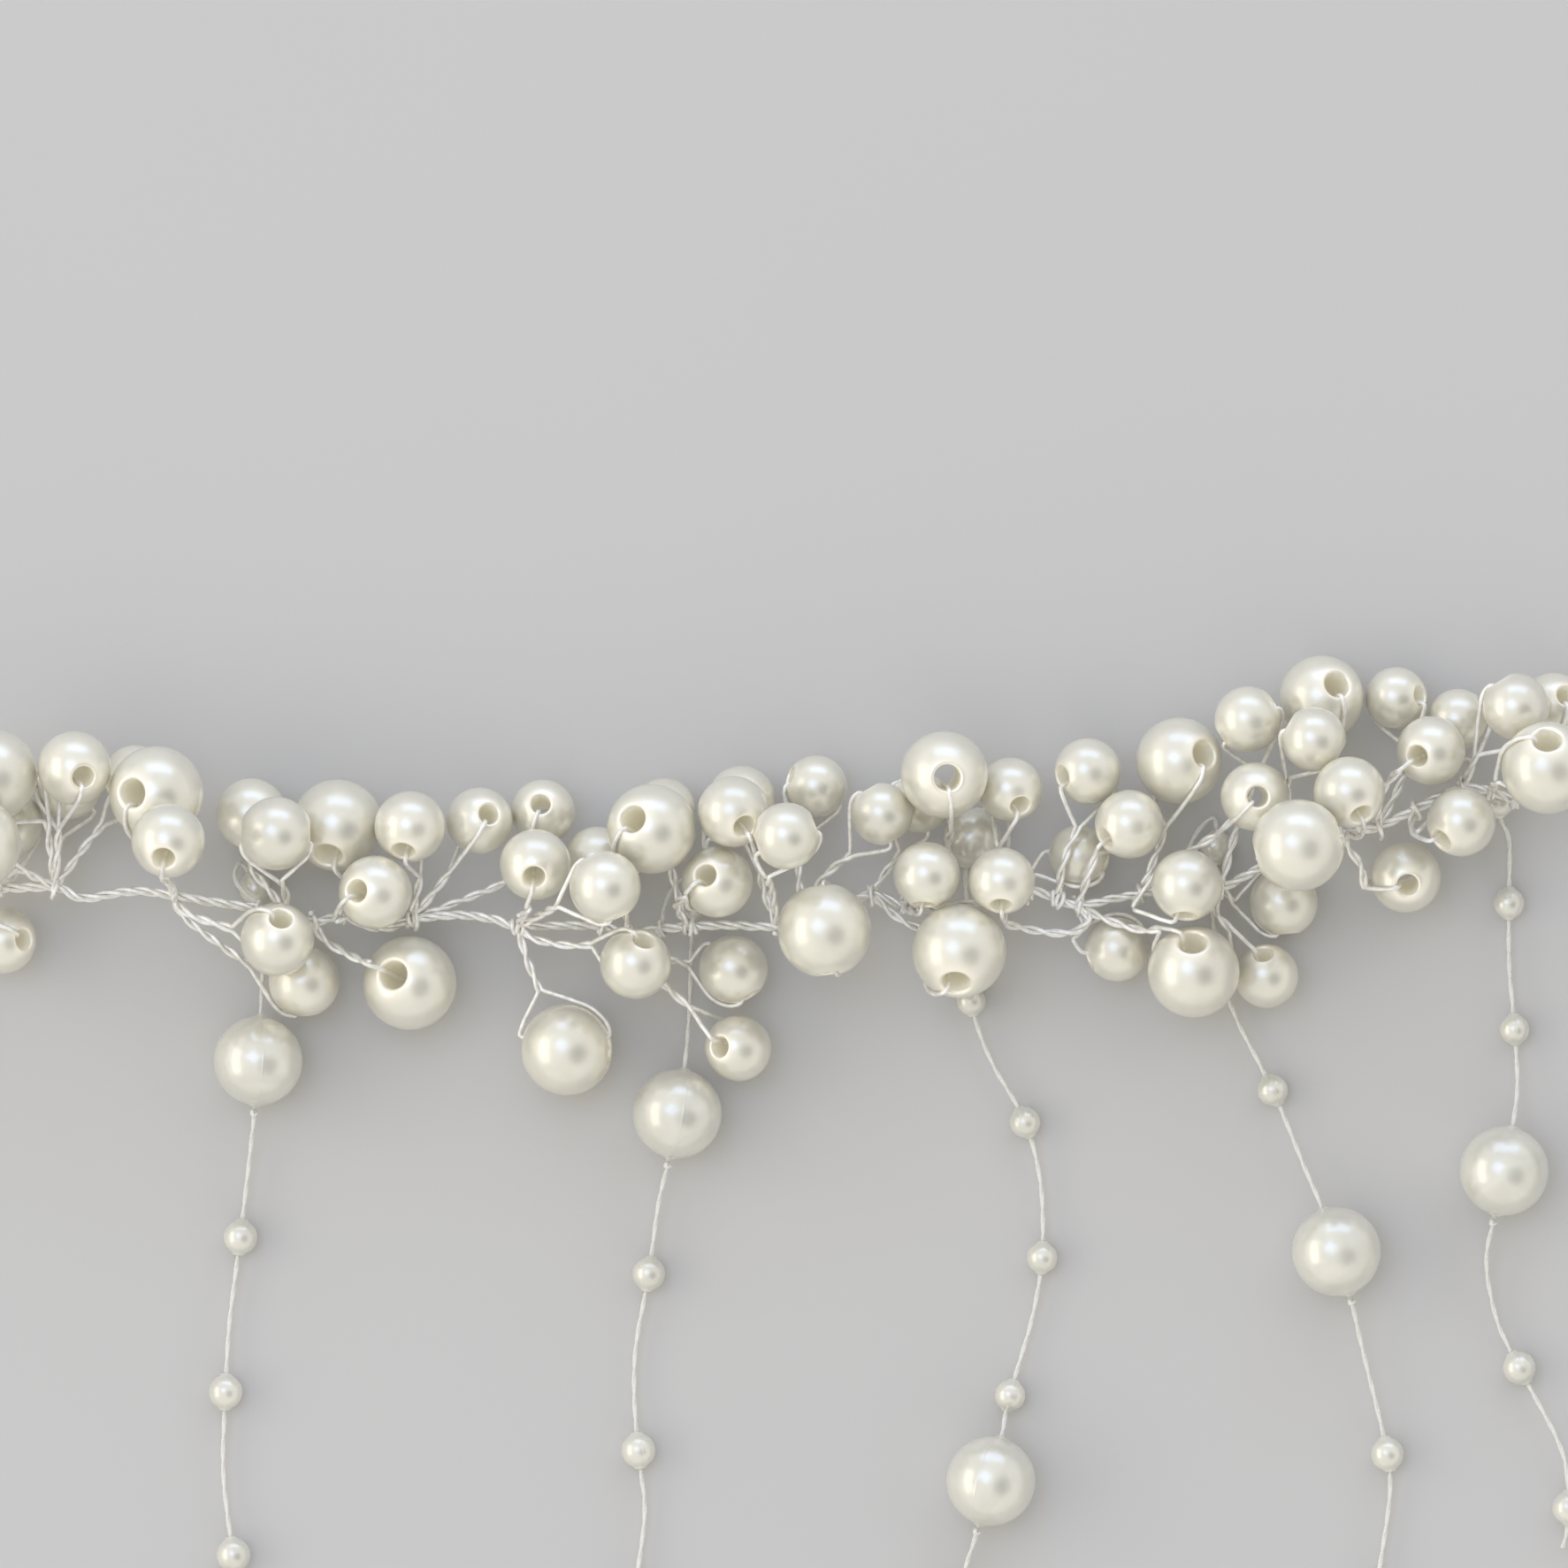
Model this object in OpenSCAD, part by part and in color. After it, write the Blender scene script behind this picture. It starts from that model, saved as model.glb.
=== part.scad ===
// Pearl hair vine with two side combs and five hanging bead strands, lying on a table.
// X runs along the vine, Y up its spray side, Z up from the table. Sizes in millimetres.

/* [Pearls] */
// Bore through a pearl under 7 mm
small_bore = 1.8; // [1.6:0.1:1.9]
// Bore through a pearl of 7 mm or more
large_bore = 2.4; // [2.1:0.1:2.6]

/* [Wire] */
// Single wire that passes through a pearl
wire_d = 0.4; // [0.3:0.05:0.4]
// Twisted stem that carries a pearl
stem_d = 0.8; // [0.6:0.05:0.8]
// Twisted main wire
spine_d = 0.9; // [0.7:0.05:0.9]
// Play between a wire and the pearl or wire that it goes round
play = 0.12; // [0.1:0.01:0.14]

/* [Strands] */
// Thread of a hanging strand
thread_d = 0.4; // [0.3:0.05:0.45]
// Bore of a strand bead
thread_bore = 0.7; // [0.65:0.05:0.8]
// Length of the moulded nib at each end of a strand bead
nib_l = 0.1; // [0.1:0.05:0.3]
// Diameter of that nib's tip
nib_d = 0.9; // [0.9:0.1:1.2]

/* [Combs] */
// Distance from the middle of the vine to the outer end of a comb
comb_reach = 118; // [110:1:125]
// Number of teeth
teeth = 9; // [7:1:9]
// Distance between teeth
tooth_pitch = 4; // [3.6:0.1:4]
// Diameter of a tooth
tooth_d = 1.2; // [1:0.1:1.4]
// Length of a tooth
tooth_l = 36; // [28:1:40]
// Rise of the bent tooth above its chord
tooth_rise = 3; // [2:0.5:5]
// Diameter of the bar that joins the teeth
bar_d = 1.6; // [1.4:0.1:2]

/* [Hidden] */
$fn = 48;
WIRE_SIDES = 5;
BEND = 50;
RING_STEP = 90;
SPRAY = "silver";
PEARL = "ivory";
nib_foot_d = 1.9;
nib_sink = 0.1;

// Main wire, from the left comb to the right one: x, y, height
SPINE = [
    [-82, -9.4, 3.4], [-78, -9.6, 4.6], [-73, -9.4, 5.6], [-68.2, -9.1, 6], [-63.4, -9, 6], [-60.9, -9.9, 6],
    [-56.7, -9.3, 6], [-53, -9.7, 6], [-49.7, -10.3, 5.8], [-45.9, -10.8, 5.4], [-43.4, -11.6, 5.2],
    [-40.9, -12, 5], [-38.4, -11.5, 5], [-36.2, -12.4, 4.8], [-34.3, -12.5, 4.8], [-32.4, -11.8, 5],
    [-28.2, -11.4, 5], [-25.1, -11.8, 5], [-23.2, -12.4, 5], [-19, -12.3, 5], [-15.9, -12.4, 5],
    [-13.4, -13, 5], [-10.8, -12.6, 5], [-8.2, -12.4, 5], [-5.1, -12.3, 5], [-0.6, -12.4, 4.8],
    [2.6, -11.8, 4.6], [5, -10.8, 4.8], [7.6, -9.6, 5], [10.4, -10.6, 4.8], [13.5, -10.8, 4.8],
    [17.5, -10.1, 4.8], [21.4, -9.3, 5], [23.8, -10, 5.2], [25.6, -10.6, 5.2], [28.6, -10, 5], [31, -9.6, 4.8],
    [34.4, -8.9, 4.6], [38, -9, 4.6], [41.4, -7.3, 4.8], [45, -5.6, 5.2], [48.7, -4.4, 5.4], [51.8, -3.7, 5.4],
    [54.9, -2.2, 5.4], [56.8, -1.2, 5.4], [59, -0.4, 5.4], [61.6, -0.6, 5.4], [63.6, -1.4, 5.2],
    [66.6, -0.9, 5], [70, -0.6, 5], [74, -0.8, 4.8], [78, -1.2, 4.2], [82, -1.6, 3.2]
];

// Pearls by spray. Columns of a row: place of the pearl, its diameter, way that the bore faces as
// turn from +X and lift above the table, point of the main wire where its stem is bound on,
// counted from 0, and the route of the stem from there to its fork
AT = 0;
SIZE = 1;
FACES = 2;
ROOT = 3;
ROUTE = 4;

FIRST_SPRAY = [
    [[-68.8, 0.8, 8.9], 8, [200, 10], 4, [[-64.1, -3.2, 6.6]]],
    [[-70.1, -5.2, 14.2], 8, [200, 50], 4, [[-66.6, -7.3, 9.9]]],
    [[-67.3, -3.4, 3.6], 5.6, [10, -40], 3, [[-67.1, -8, 4.7]]],
    [[-61.6, 1.4, 10.4], 6.4, [-43, 66], 4, [[-63, -3.8, 7.8]]],
    [[-62.3, -0.2, 3.6], 5.8, [150, 10], 4, [[-63.5, -6, 6.2], [-62.8, -4.4, 5]]],
    [[-56.5, 0.6, 3.6], 5.6, [20, -35], 4, [[-61, -5.6, 5.4], [-59.3, -3.5, 5.2]]],
    [[-68, -13.6, 3.9], 5.8, [3, 46], 3, [[-69, -10.4, 6.4], [-71, -11.2, 6.8]]]
];
SECOND_SPRAY = [
    [[-54.5, -0.8, 10.2], 8.2, [180, 58], 7, [[-54, -8, 6.8], [-55.2, -5.9, 7.4]]],
    [[-53.3, -4.9, 16.6], 6.4, [-102, 58], 7, [[-53.1, -9, 9.5], [-53.6, -8.3, 12.8]]],
    [[-46.4, -2.6, 3.9], 6.2, [92, -16], 10, [[-44.4, -9.6, 5], [-46.4, -7.5, 4.4]]],
    [[-44.1, -4.3, 10], 6.4, [0, 0], 10, [[-43.2, -9.8, 6.6], [-43.8, -8.4, 8.4]]],
    [[-44, -13.5, 9.4], 6.4, [79, 51], 7, [[-52.5, -11.2, 6.2], [-48, -12.6, 7]]],
    [[-41.8, -17.2, 3.9], 6.2, [-86, -10], 7, [[-52.7, -11.3, 5.4], [-48.4, -14.5, 4.8], [-46.4, -15.8, 4.5]]],
    [[-32.6, -17.3, 5], 8.2, [152, 66], 11, [[-40.2, -13.6, 5.2], [-37.6, -15, 6.8], [-36, -15.6, 8.6]]]
];
THIRD_SPRAY = [
    [[-38.9, -3.6, 4.8], 8, [-105, 43], 12, [[-38.1, -9.8, 5.2], [-38, -8.4, 5.4]]],
    [[-32.5, -3.7, 8.3], 6.2, [256, 40], 15, [[-31.9, -9.2, 5.4], [-31.7, -8, 5.9]]],
    [[-35.5, -9.4, 9.4], 6.4, [175, 58], 12, [[-39, -11.8, 8.2]]],
    [[-26.5, -3.2, 5.7], 5.8, [34, 67], 15, [[-30.6, -9.6, 5.2], [-29.1, -7.6, 5.6]]],
    [[-21, -2.4, 3.8], 5.6, [104, 75], 15, [[-28.2, -10.2, 4.6], [-24.4, -8.7, 3.9], [-22.6, -7.4, 3.6]]]
];
FOURTH_SPRAY = [
    [[-21.6, -7, 8.8], 6.2, [-94, 68], 18, [[-22.6, -11.2, 8.2], [-22.2, -10.8, 10]]],
    [[-16.3, -6.6, 3.9], 5.8, [200, 0], 20, [[-16.2, -10.7, 4.5]]],
    [[-15.5, -8.9, 13.8], 6.2, [113, -5], 18, [[-21.2, -11.4, 8], [-19.6, -10.5, 11.6]]],
    [[-11.5, -3.9, 10], 7.8, [152, 59], 21, [[-14.2, -10, 6.6], [-14.4, -8.8, 7.4]]],
    [[-12.9, -15.6, 9], 6.2, [71, 40], 18, [[-21.8, -13.6, 5.6], [-18.6, -14.1, 6.4], [-16.7, -14, 7.2]]],
    [[-4.4, -16.1, 3.9], 6, [120, -10], 21, [[-11.2, -15, 4.4], [-8.3, -15.7, 2.5]]],
    [[-4, -23, 3.9], 5.8, [175, 53], 21, [[-12, -15.6, 4.8], [-10.4, -17.6, 4.6], [-8.1, -19.5, 4.6]]],
    [[-18.9, -23.1, 4.9], 8, [0, 10], 18, [[-22.4, -15.4, 5], [-21.2, -18, 5]]]
];
FIFTH_SPRAY = [
    [[-10.4, -2.2, 3.6], 5.4, [100, -30], 23, [[-9.3, -9.6, 4.4], [-9.9, -7, 3.8]]],
    [[-4.4, -2.4, 10.5], 6.2, [-52, 56], 25, [[-1.8, -9.4, 5.8], [-2.2, -7.6, 7.4]]],
    [[-3.7, -1.4, 3.8], 6, [150, -10], 23, [[-7.2, -8.6, 3.9], [-6.8, -4.8, 3.8]]],
    [[-5.8, -8.5, 8.8], 6.2, [150, 66], 23, [[-9.6, -10.6, 8], [-8.5, -9.6, 11.1]]],
    [[0.2, -4.5, 14], 5.8, [200, 0], 25, [[-1, -9.4, 8], [-1.5, -8, 12]]]
];
SIXTH_SPRAY = [
    [[2.8, -0.2, 3.8], 5.4, [160, 15], 26, [[1.2, -9.4, 4.6], [1.3, -5, 4]]],
    [[3.5, -12.7, 10.2], 8.2, [-82, 5], 27, [[4.6, -9.4, 6.2]]],
    [[8.5, -2.6, 8], 5.4, [120, 0], 26, [[2.8, -8.7, 5.2], [4.4, -7.2, 5.8], [5.9, -6.1, 6.3]]],
    [[11.8, -1.6, 3.6], 5.4, [-60, -10], 28, [[9, -7.4, 4.6], [10.2, -6, 4]]],
    [[13.9, 0.8, 9.9], 7.6, [-45, 84], 30, [[14, -7.2, 5.2], [14.3, -4.8, 7], [14.5, -4, 8.4]]],
    [[12.4, -7.9, 9.8], 5.8, [-95, 14], 29, [[10.9, -11, 7], [11.6, -11.2, 8.6]]],
    [[15.2, -14.5, 9.6], 8.2, [-96, 43], 28, [[10.1, -11.9, 5.4], [12, -12.6, 5.2], [13.6, -12.6, 4.9]]]
];
SEVENTH_SPRAY = [
    [[19.7, -0.5, 6.6], 5.6, [-60, 52], 32, [[19.2, -7.2, 6], [18.6, -5.4, 6.9]]],
    [[18.9, -8.4, 10.2], 5.8, [-92, 36], 34, [[27, -12, 6], [24.6, -13.2, 5.8], [21, -12.6, 5.6], [19.3, -12.2, 6.8]]],
    [[26.4, 1.1, 6], 5.8, [192, 33], 33, [[24.2, -6.8, 7.2], [25.5, -3.8, 7]]],
    [[25.7, -6.2, 3.7], 5.4, [160, -10], 32, [[21.6, -7.8, 4.2]]],
    [[30, -3.5, 8], 6, [209, 28], 34, [[26.4, -8, 7.2], [27.1, -6.2, 7.6]]],
    [[29, -14.4, 3.8], 5.6, [200, 10], 34, [[26.4, -12.4, 4.9], [25, -13.3, 4.6]]],
    [[35.6, -16.3, 7.8], 8, [93, 46], 34, [[27.4, -11.6, 5.8], [31, -12.8, 6.8], [32.6, -12.6, 8.6]]]
];
EIGHTH_SPRAY = [
    [[34.4, 2, 5.2], 7.6, [15, 51], 36, [[31.8, -7.6, 5.2], [32.8, -5, 5.6], [33.2, -3.6, 6]]],
    [[35, -8.8, 9.4], 6.2, [-95, 20], 36, [[30.4, -10.8, 8]]],
    [[43.5, -10.3, 3.6], 6, [-85, 0], 38, [[39.2, -10.3, 3.4]]],
    [[42, -16.7, 3.8], 5.6, [100, 42], 38, [[37.3, -11, 5.4], [38.8, -12.6, 6]]],
    [[40.9, -1.1, 9.8], 6, [0, 86], 36, [[32.2, -8, 5.4], [35.4, -5.8, 6.2], [37.6, -4.4, 7.6]]],
    [[40.3, 5.6, 7.8], 5.8, [34, 6], 38, [[38.6, -6.8, 4.8], [39.2, -4.4, 4.3], [40.6, -0.6, 4.2], [41.2, 1.2, 4.6]]]
];
NINTH_SPRAY = [
    [[46.8, 7.5, 4.8], 7.4, [42, 60], 41, [[47.7, -1.5, 4.6], [47.8, 2.6, 4.8]]],
    [[46, 3.9, 10.5], 5.6, [150, 0], 40, [[43.7, -2, 6.2], [43.8, 0.6, 7.9]]],
    [[49, -0.7, 13], 6.2, [-63, 40], 41, [[50.1, -4.5, 8], [50.1, -4.3, 9.8]]],
    [[44.5, -5.3, 16.4], 8, [195, -5], 40, [[45.8, -5.8, 8], [46.1, -5.7, 10.8]]],
    [[53.3, 7.5, 3.8], 5.4, [185, -35], 42, [[53.4, -0.6, 4.8], [54.4, 1.6, 4.4], [54.3, 3.2, 4.4]]],
    [[56.2, 2.9, 8.4], 6, [202, 61], 42, [[51.6, -1.4, 7.6], [52.4, 0.2, 9.4], [53.4, 1.2, 10.7]]],
    [[54.1, -8.1, 4.6], 6.2, [-80, 76], 41, [[49.1, -5.7, 5.1], [50.3, -7, 5.4], [50.5, -9.1, 5.6]]]
];
TENTH_SPRAY = [
    [[58.8, -3.3, 9.4], 6, [221, 33], 43, [[54.5, -3.6, 7], [54.8, -4.3, 8.6]]],
    [[58.7, 5.6, 3.7], 5.4, [-150, -10], 45, [[59.7, 1.2, 5], [60, 2, 4.6]]],
    [[63.6, 6.7, 8.8], 5.8, [122, 0], 45, [[59.6, 1, 6.2], [60.2, 2.6, 7]]],
    [[67, 6.9, 3.8], 5.6, [37, 60], 48, [[66.6, 0.8, 4.4], [66.6, 2.6, 4]]],
    [[66.2, 1.4, 13], 8, [93, 49], 46, [[61.6, -0.2, 8], [61.9, 0.3, 10.5]]]
];
SPRAYS = [
    FIRST_SPRAY, SECOND_SPRAY, THIRD_SPRAY, FOURTH_SPRAY, FIFTH_SPRAY,
    SIXTH_SPRAY, SEVENTH_SPRAY, EIGHTH_SPRAY, NINTH_SPRAY, TENTH_SPRAY
];

// Points of the main wire where the strands are tied
TIES = [9, 22, 31, 37, 47];

// Strands. Columns of a row: place, and the diameter of the bead there, or 0 for a bend of the thread
STRANDS = [
    [
        [[-48, -8.6, 3.8], 0], [[-47.6, -6.6, 2.5], 0], [[-46.1, -9.1, 2.2], 2.8], [[-45.3, -14, 1.4], 0], [[-45.5, -17.6, 1.8], 0],
        [[-45.8, -24.1, 4], 7.8], [[-46.4, -31, 1.8], 0], [[-47.4, -39.5, 1.5], 3], [[-48.4, -47, 1], 0],
        [[-48.7, -53, 1.5], 3], [[-49, -60, 1], 0], [[-48, -67.2, 1.5], 3], [[-47.2, -70.4, 0.8], 0]
    ],
    [
        [[-10.3, -9.9, 3], 0], [[-8.6, -7.9, 2.6], 0], [[-7.9, -10.6, 2.4], 2.6], [[-8.1, -13.2, 1.2], 0], [[-8.2, -20, 1.2], 0],
        [[-9.3, -28.7, 3.9], 7.8], [[-10.9, -36, 1.8], 0], [[-11.8, -42.7, 1.5], 2.9], [[-13, -49, 1], 0],
        [[-13.1, -53, 1], 0], [[-12.7, -58.1, 1.5], 3], [[-12, -63.3, 1], 0], [[-12.7, -68.4, 1], 0],
        [[-13.2, -71.2, 1.5], 3], [[-13.5, -73.4, 1], 0]
    ],
    [
        [[19.8, -6, 3.6], 0], [[19.2, -1.6, 2.7], 0], [[16.4, -4.7, 2.7], 5.2], [[16.2, -12, 1.6], 0], [[16.3, -18.9, 1.4], 2.6],
        [[18.2, -24.6, 1], 0], [[21, -29.5, 1.4], 2.7], [[22.5, -35, 1], 0], [[22.5, -41.3, 1.4], 2.7],
        [[21.6, -47, 1], 0], [[19.7, -53.3, 1.4], 2.7], [[18, -60.7, 3.9], 7.8], [[15.9, -68, 1.6], 0],
        [[15.1, -71.2, 1.5], 3], [[14.6, -73.4, 1], 0]
    ],
    [
        [[35.4, -4.8, 2.6], 0], [[37.4, -2.6, 1.6], 0], [[37.7, -5.5, 1.5], 2.9], [[37.2, -11.4, 1.2], 0], [[38.6, -19, 1], 0],
        [[42.6, -26.7, 1.4], 2.7], [[45.6, -34, 1.8], 0], [[48.1, -40.7, 4], 7.8], [[50.2, -48.4, 1.8], 0],
        [[52.6, -58.4, 1.5], 2.9], [[52.8, -63, 1], 0], [[51.9, -68.6, 1], 0], [[51.5, -71.2, 1.5], 3],
        [[51.2, -73.4, 1], 0]
    ],
    [
        [[63.2, 0.6, 3.6], 0], [[62.3, -1.6, 2.2], 2.6], [[63.3, -4.4, 1.6], 0], [[63.2, -10.4, 1.4], 2.7],
        [[63.2, -16, 1], 0], [[63.7, -21.4, 1.4], 2.6], [[64, -26.4, 1.8], 0], [[62.7, -33.7, 4], 7.8],
        [[61, -41.4, 1.8], 0], [[62, -46.6, 1], 0], [[64.1, -50.9, 1.5], 2.9], [[68, -58, 1], 0],
        [[68.4, -63.1, 1.5], 2.9], [[67.9, -66.6, 1], 0]
    ]
];
LARGE_FROM = 7;

// Which pearls of a spray, or beads of a strand, are large
function is_large(row) = row[SIZE] >= LARGE_FROM;
LARGE = [for (spray = SPRAYS) for (row = spray) if (is_large(row)) row];
DROPS = [for (strand = STRANDS) [for (i = [1:len(strand) - 2]) if (is_large(strand[i])) i][0]];

// The lowest corner of the vine goes to height 0 and its middle to the origin
top_y = max([for (spray = SPRAYS) for (row = spray) row[AT].y + row[SIZE] / 2]);
low_y = min([for (strand = STRANDS) for (row = strand) row[AT].y]);
middle = [0, (top_y + low_y) / 2, 0];

comb_w = (teeth - 1) * tooth_pitch + 2;
wraps = 4;
wrap_step = 72;
wrap_r = (bar_d / 2 + play + stem_d / 2) / cos(wrap_step / 2);
bar_z = wrap_r + stem_d / 2;
bend_r = (tooth_l * tooth_l / 4 + tooth_rise * tooth_rise) / (2 * tooth_rise);
half_bend = asin(tooth_l / 2 / bend_r);
tooth_tilt = asin((bar_z - tooth_d / 2) / tooth_l);

function unit(v) = v / norm(v);
function way(turn, lift) = [cos(turn) * cos(lift), sin(turn) * cos(lift), sin(lift)];
function heading(route, i) = unit(route[min(i + 1, len(route) - 1)] - route[max(i - 1, 0)]);
function across(v, along) = unit(v - (v * along) * along);
function any_side(along) = across(abs(along.z) < 0.9 ? [0, 0, 1] : [1, 0, 0], along);
function stem_route(row) = concat([SPINE[row[ROOT]]], row[ROUTE]);
function reversed(list) = [for (i = [len(list) - 1:-1:0]) list[i]];

// The side direction at each point of a route, carried along without twisting
function side_list(route) = [
    for (
        i = 0, side = any_side(heading(route, 0));
        i < len(route);
        i = i + 1, side = i < len(route) ? across(side, heading(route, i)) : side
    ) side
];

// A tube along a route; its radius is one number or one for each point
module tube(route, r, sides = WIRE_SIDES) {
    last = len(route) - 1;
    side = side_list(route);
    rings = [
        for (i = [0:last]) let (u = cross(heading(route, i), side[i]), size = is_list(r) ? r[i] : r)
            for (k = [0:sides - 1]) let (a = 360 * k / sides)
                route[i] + size * (cos(a) * side[i] + sin(a) * u)
    ];
    walls = [
        for (i = [0:last - 1]) for (k = [0:sides - 1])
            let (a = i * sides + k, b = i * sides + (k + 1) % sides)
                each [[a, a + sides, b + sides], [a, b + sides, b]]
    ];
    first_cap = [for (k = [0:sides - 1]) k];
    last_cap = [for (k = [sides - 1:-1:0]) last * sides + k];
    polyhedron(points = rings, faces = concat(walls, [first_cap, last_cap]), convexity = 10);
}

// From the mouth of a bore over its lip and round the pearl towards the fork
function lead(c, r, bore, faces, fork) =
    let (
        to_fork = unit(fork - c),
        side = across(to_fork, faces),
        lip = asin(bore / 2 / r),
        rim = r * cos(lip),
        inset = bore / 2 - wire_d / 2 - play,
        reach = (r + play + wire_d / 2) / cos(BEND / 2),
        start = lip + 18,
        leave = acos(to_fork * faces) - acos(min(1, reach / norm(fork - c))),
        steps = ceil((leave - start) / BEND)
    )
    concat(
        [c + (rim + 0.45) * faces + inset * side],
        leave < start ? [] : [
            for (k = [0:steps]) let (a = start + (leave - start) * k / steps)
                c + reach * (cos(a) * faces + sin(a) * side)
        ]
    );

// A wire that leaves the fork, passes through the pearl and comes back to the fork
function loop_route(row) =
    let (
        c = row[AT],
        r = row[SIZE] / 2,
        bore = is_large(row) ? large_bore : small_bore,
        faces = way(row[FACES][0], row[FACES][1]),
        stem = stem_route(row),
        fork = stem[len(stem) - 1],
        inside = fork - 0.5 * unit(fork - stem[len(stem) - 2]),
        apart = 0.16 * across(faces, unit(fork - c))
    )
    concat(
        [inside + apart],
        reversed(lead(c, r, bore, faces, fork)),
        lead(c, r, bore, -faces, fork),
        [inside - apart]
    );

// Points of the main wire where the stems of a spray start
function roots(spray) = [
    for (k = [0:len(SPINE) - 1])
        if (len([for (row = spray) if (row[ROOT] == k) row]) > 0) k
];

// A point beside the main wire, on a ring round it that a thin wire or thread follows; 0 is on top
function beside(at, turn) =
    let (
        along = heading(SPINE, at),
        up = any_side(along),
        ring_r = (spine_d / 2 + play + wire_d / 2) / cos(RING_STEP / 2)
    )
    SPINE[at] + ring_r * (cos(turn) * up + sin(turn) * cross(along, up));

module binding(at) {
    for (turn = [0:RING_STEP:359])
        hull() {
            translate(beside(at, turn)) sphere(d = wire_d, $fn = 4);
            translate(beside(at, turn + RING_STEP)) sphere(d = wire_d, $fn = 4);
        }
}

module spray_wire(i) {
    color(SPRAY)
        difference() {
            union() {
                for (row = SPRAYS[i]) {
                    tube(stem_route(row), stem_d / 2);
                    tube(loop_route(row), wire_d / 2);
                }
                for (at = roots(SPRAYS[i]))
                    binding(at);
            }
            tube(SPINE, spine_d / 2 + play);
        }
}

module pearl(row) {
    bore = is_large(row) ? large_bore : small_bore;
    translate(row[AT])
        rotate([0, 90 - row[FACES][1], row[FACES][0]])
            difference() {
                sphere(d = row[SIZE]);
                cylinder(h = row[SIZE] + 2, d = bore, center = true);
            }
}

module spray_pearls(i) {
    color(PEARL)
        for (row = SPRAYS[i])
            if (!is_large(row)) pearl(row);
}

// Turns of the main wire round a comb's bar, one in each gap between two teeth from the inner end
function wrap_route(side, y) = [
    for (a = [0:wrap_step:360 * wraps])
        [
            side * (comb_reach - comb_w + 1 + tooth_pitch * a / 360),
            y + wrap_r * cos(a),
            bar_z - wrap_r * sin(a)
        ]
];

module main_wire() {
    last = len(SPINE) - 1;
    left = wrap_route(-1, SPINE[0].y);
    right = wrap_route(1, SPINE[last].y);
    route = concat(reversed(left), SPINE, right);
    sizes = concat(
        [for (p = left) stem_d / 2],
        [for (p = SPINE) spine_d / 2],
        [for (p = right) stem_d / 2]
    );
    color(SPRAY) tube(route, sizes);
}

module tooth() {
    rotate([tooth_tilt, 0, 0]) {
        translate([0, -tooth_l / 2, tooth_rise - bend_r])
            rotate([90, 0, 90])
                rotate([0, 0, 90 - half_bend])
                    rotate_extrude(angle = 2 * half_bend)
                        translate([bend_r, 0]) circle(d = tooth_d);
        translate([0, -tooth_l, 0]) sphere(d = tooth_d);
    }
}

module comb(x, y) {
    color("gainsboro")
        translate([x, y, bar_z]) {
            rotate([0, 90, 0]) cylinder(h = comb_w - bar_d, d = bar_d, center = true);
            for (side = [-1, 1])
                translate([side * (comb_w - bar_d) / 2, 0, 0]) sphere(d = bar_d);
            for (i = [0:teeth - 1])
                translate([(i - (teeth - 1) / 2) * tooth_pitch, 0, 0]) tooth();
        }
}

// The way that a strand's bead faces, level, from the row before it to the row after it
function bead_way(strand, i) =
    let (step = strand[i + 1][AT] - strand[i - 1][AT]) unit([step.x, step.y, 0]);

// Once round the main wire, ending on its far side, and then from bead to bead
function thread_route(n) =
    let (strand = STRANDS[n])
    concat(
        [for (turn = [0:RING_STEP:270]) beside(TIES[n], turn)],
        [
            for (i = [0:len(strand) - 1])
                each strand[i][SIZE] == 0 ? [strand[i][AT]] : [
                    for (side = [-1, 1])
                        strand[i][AT] + side * (strand[i][SIZE] / 2 + nib_l + thread_d / 2) * bead_way(strand, i)
                ]
        ]
    );

// A ball whose two nibs are cones, each from its foot on the ball out to its tip
module bead(strand, i) {
    d = strand[i][SIZE];
    faces = bead_way(strand, i);
    foot_r = min(0.29 * d, nib_foot_d / 2);
    foot_z = sqrt(d * d / 4 - foot_r * foot_r);
    tip_z = d / 2 + nib_l;
    taper = (foot_r - nib_d / 2) / (tip_z - foot_z);
    cone_h = tip_z - foot_z + nib_sink;
    cone_r = foot_r + taper * nib_sink;
    translate(strand[i][AT])
        rotate([0, 90, atan2(faces.y, faces.x)])
            difference() {
                union() {
                    sphere(d = d);
                    translate([0, 0, tip_z - cone_h]) cylinder(h = cone_h, r1 = cone_r, r2 = nib_d / 2);
                    translate([0, 0, -tip_z]) cylinder(h = cone_h, r1 = nib_d / 2, r2 = cone_r);
                }
                cylinder(h = d + 4, d = thread_bore, center = true);
            }
}

module strand_beads(n) {
    color("white")
        for (i = [1:len(STRANDS[n]) - 2])
            if (STRANDS[n][i][SIZE] > 0 && !is_large(STRANDS[n][i])) bead(STRANDS[n], i);
}

translate(-middle) {
    comb(comb_w / 2 - comb_reach, SPINE[0].y);  // comb_left
    comb(comb_reach - comb_w / 2, SPINE[len(SPINE) - 1].y);  // comb_right
    main_wire();
    for (i = [1:len(SPRAYS)]) {
        spray_wire(i - 1);
        spray_pearls(i - 1);
    }
    for (i = [1:len(LARGE)])
        color(PEARL) pearl(LARGE[i - 1]);
    for (i = [1:len(STRANDS)]) {
        color("white") tube(thread_route(i - 1), thread_d / 2);
        strand_beads(i - 1);
        color("white") bead(STRANDS[i - 1], DROPS[i - 1]);
    }
}
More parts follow.
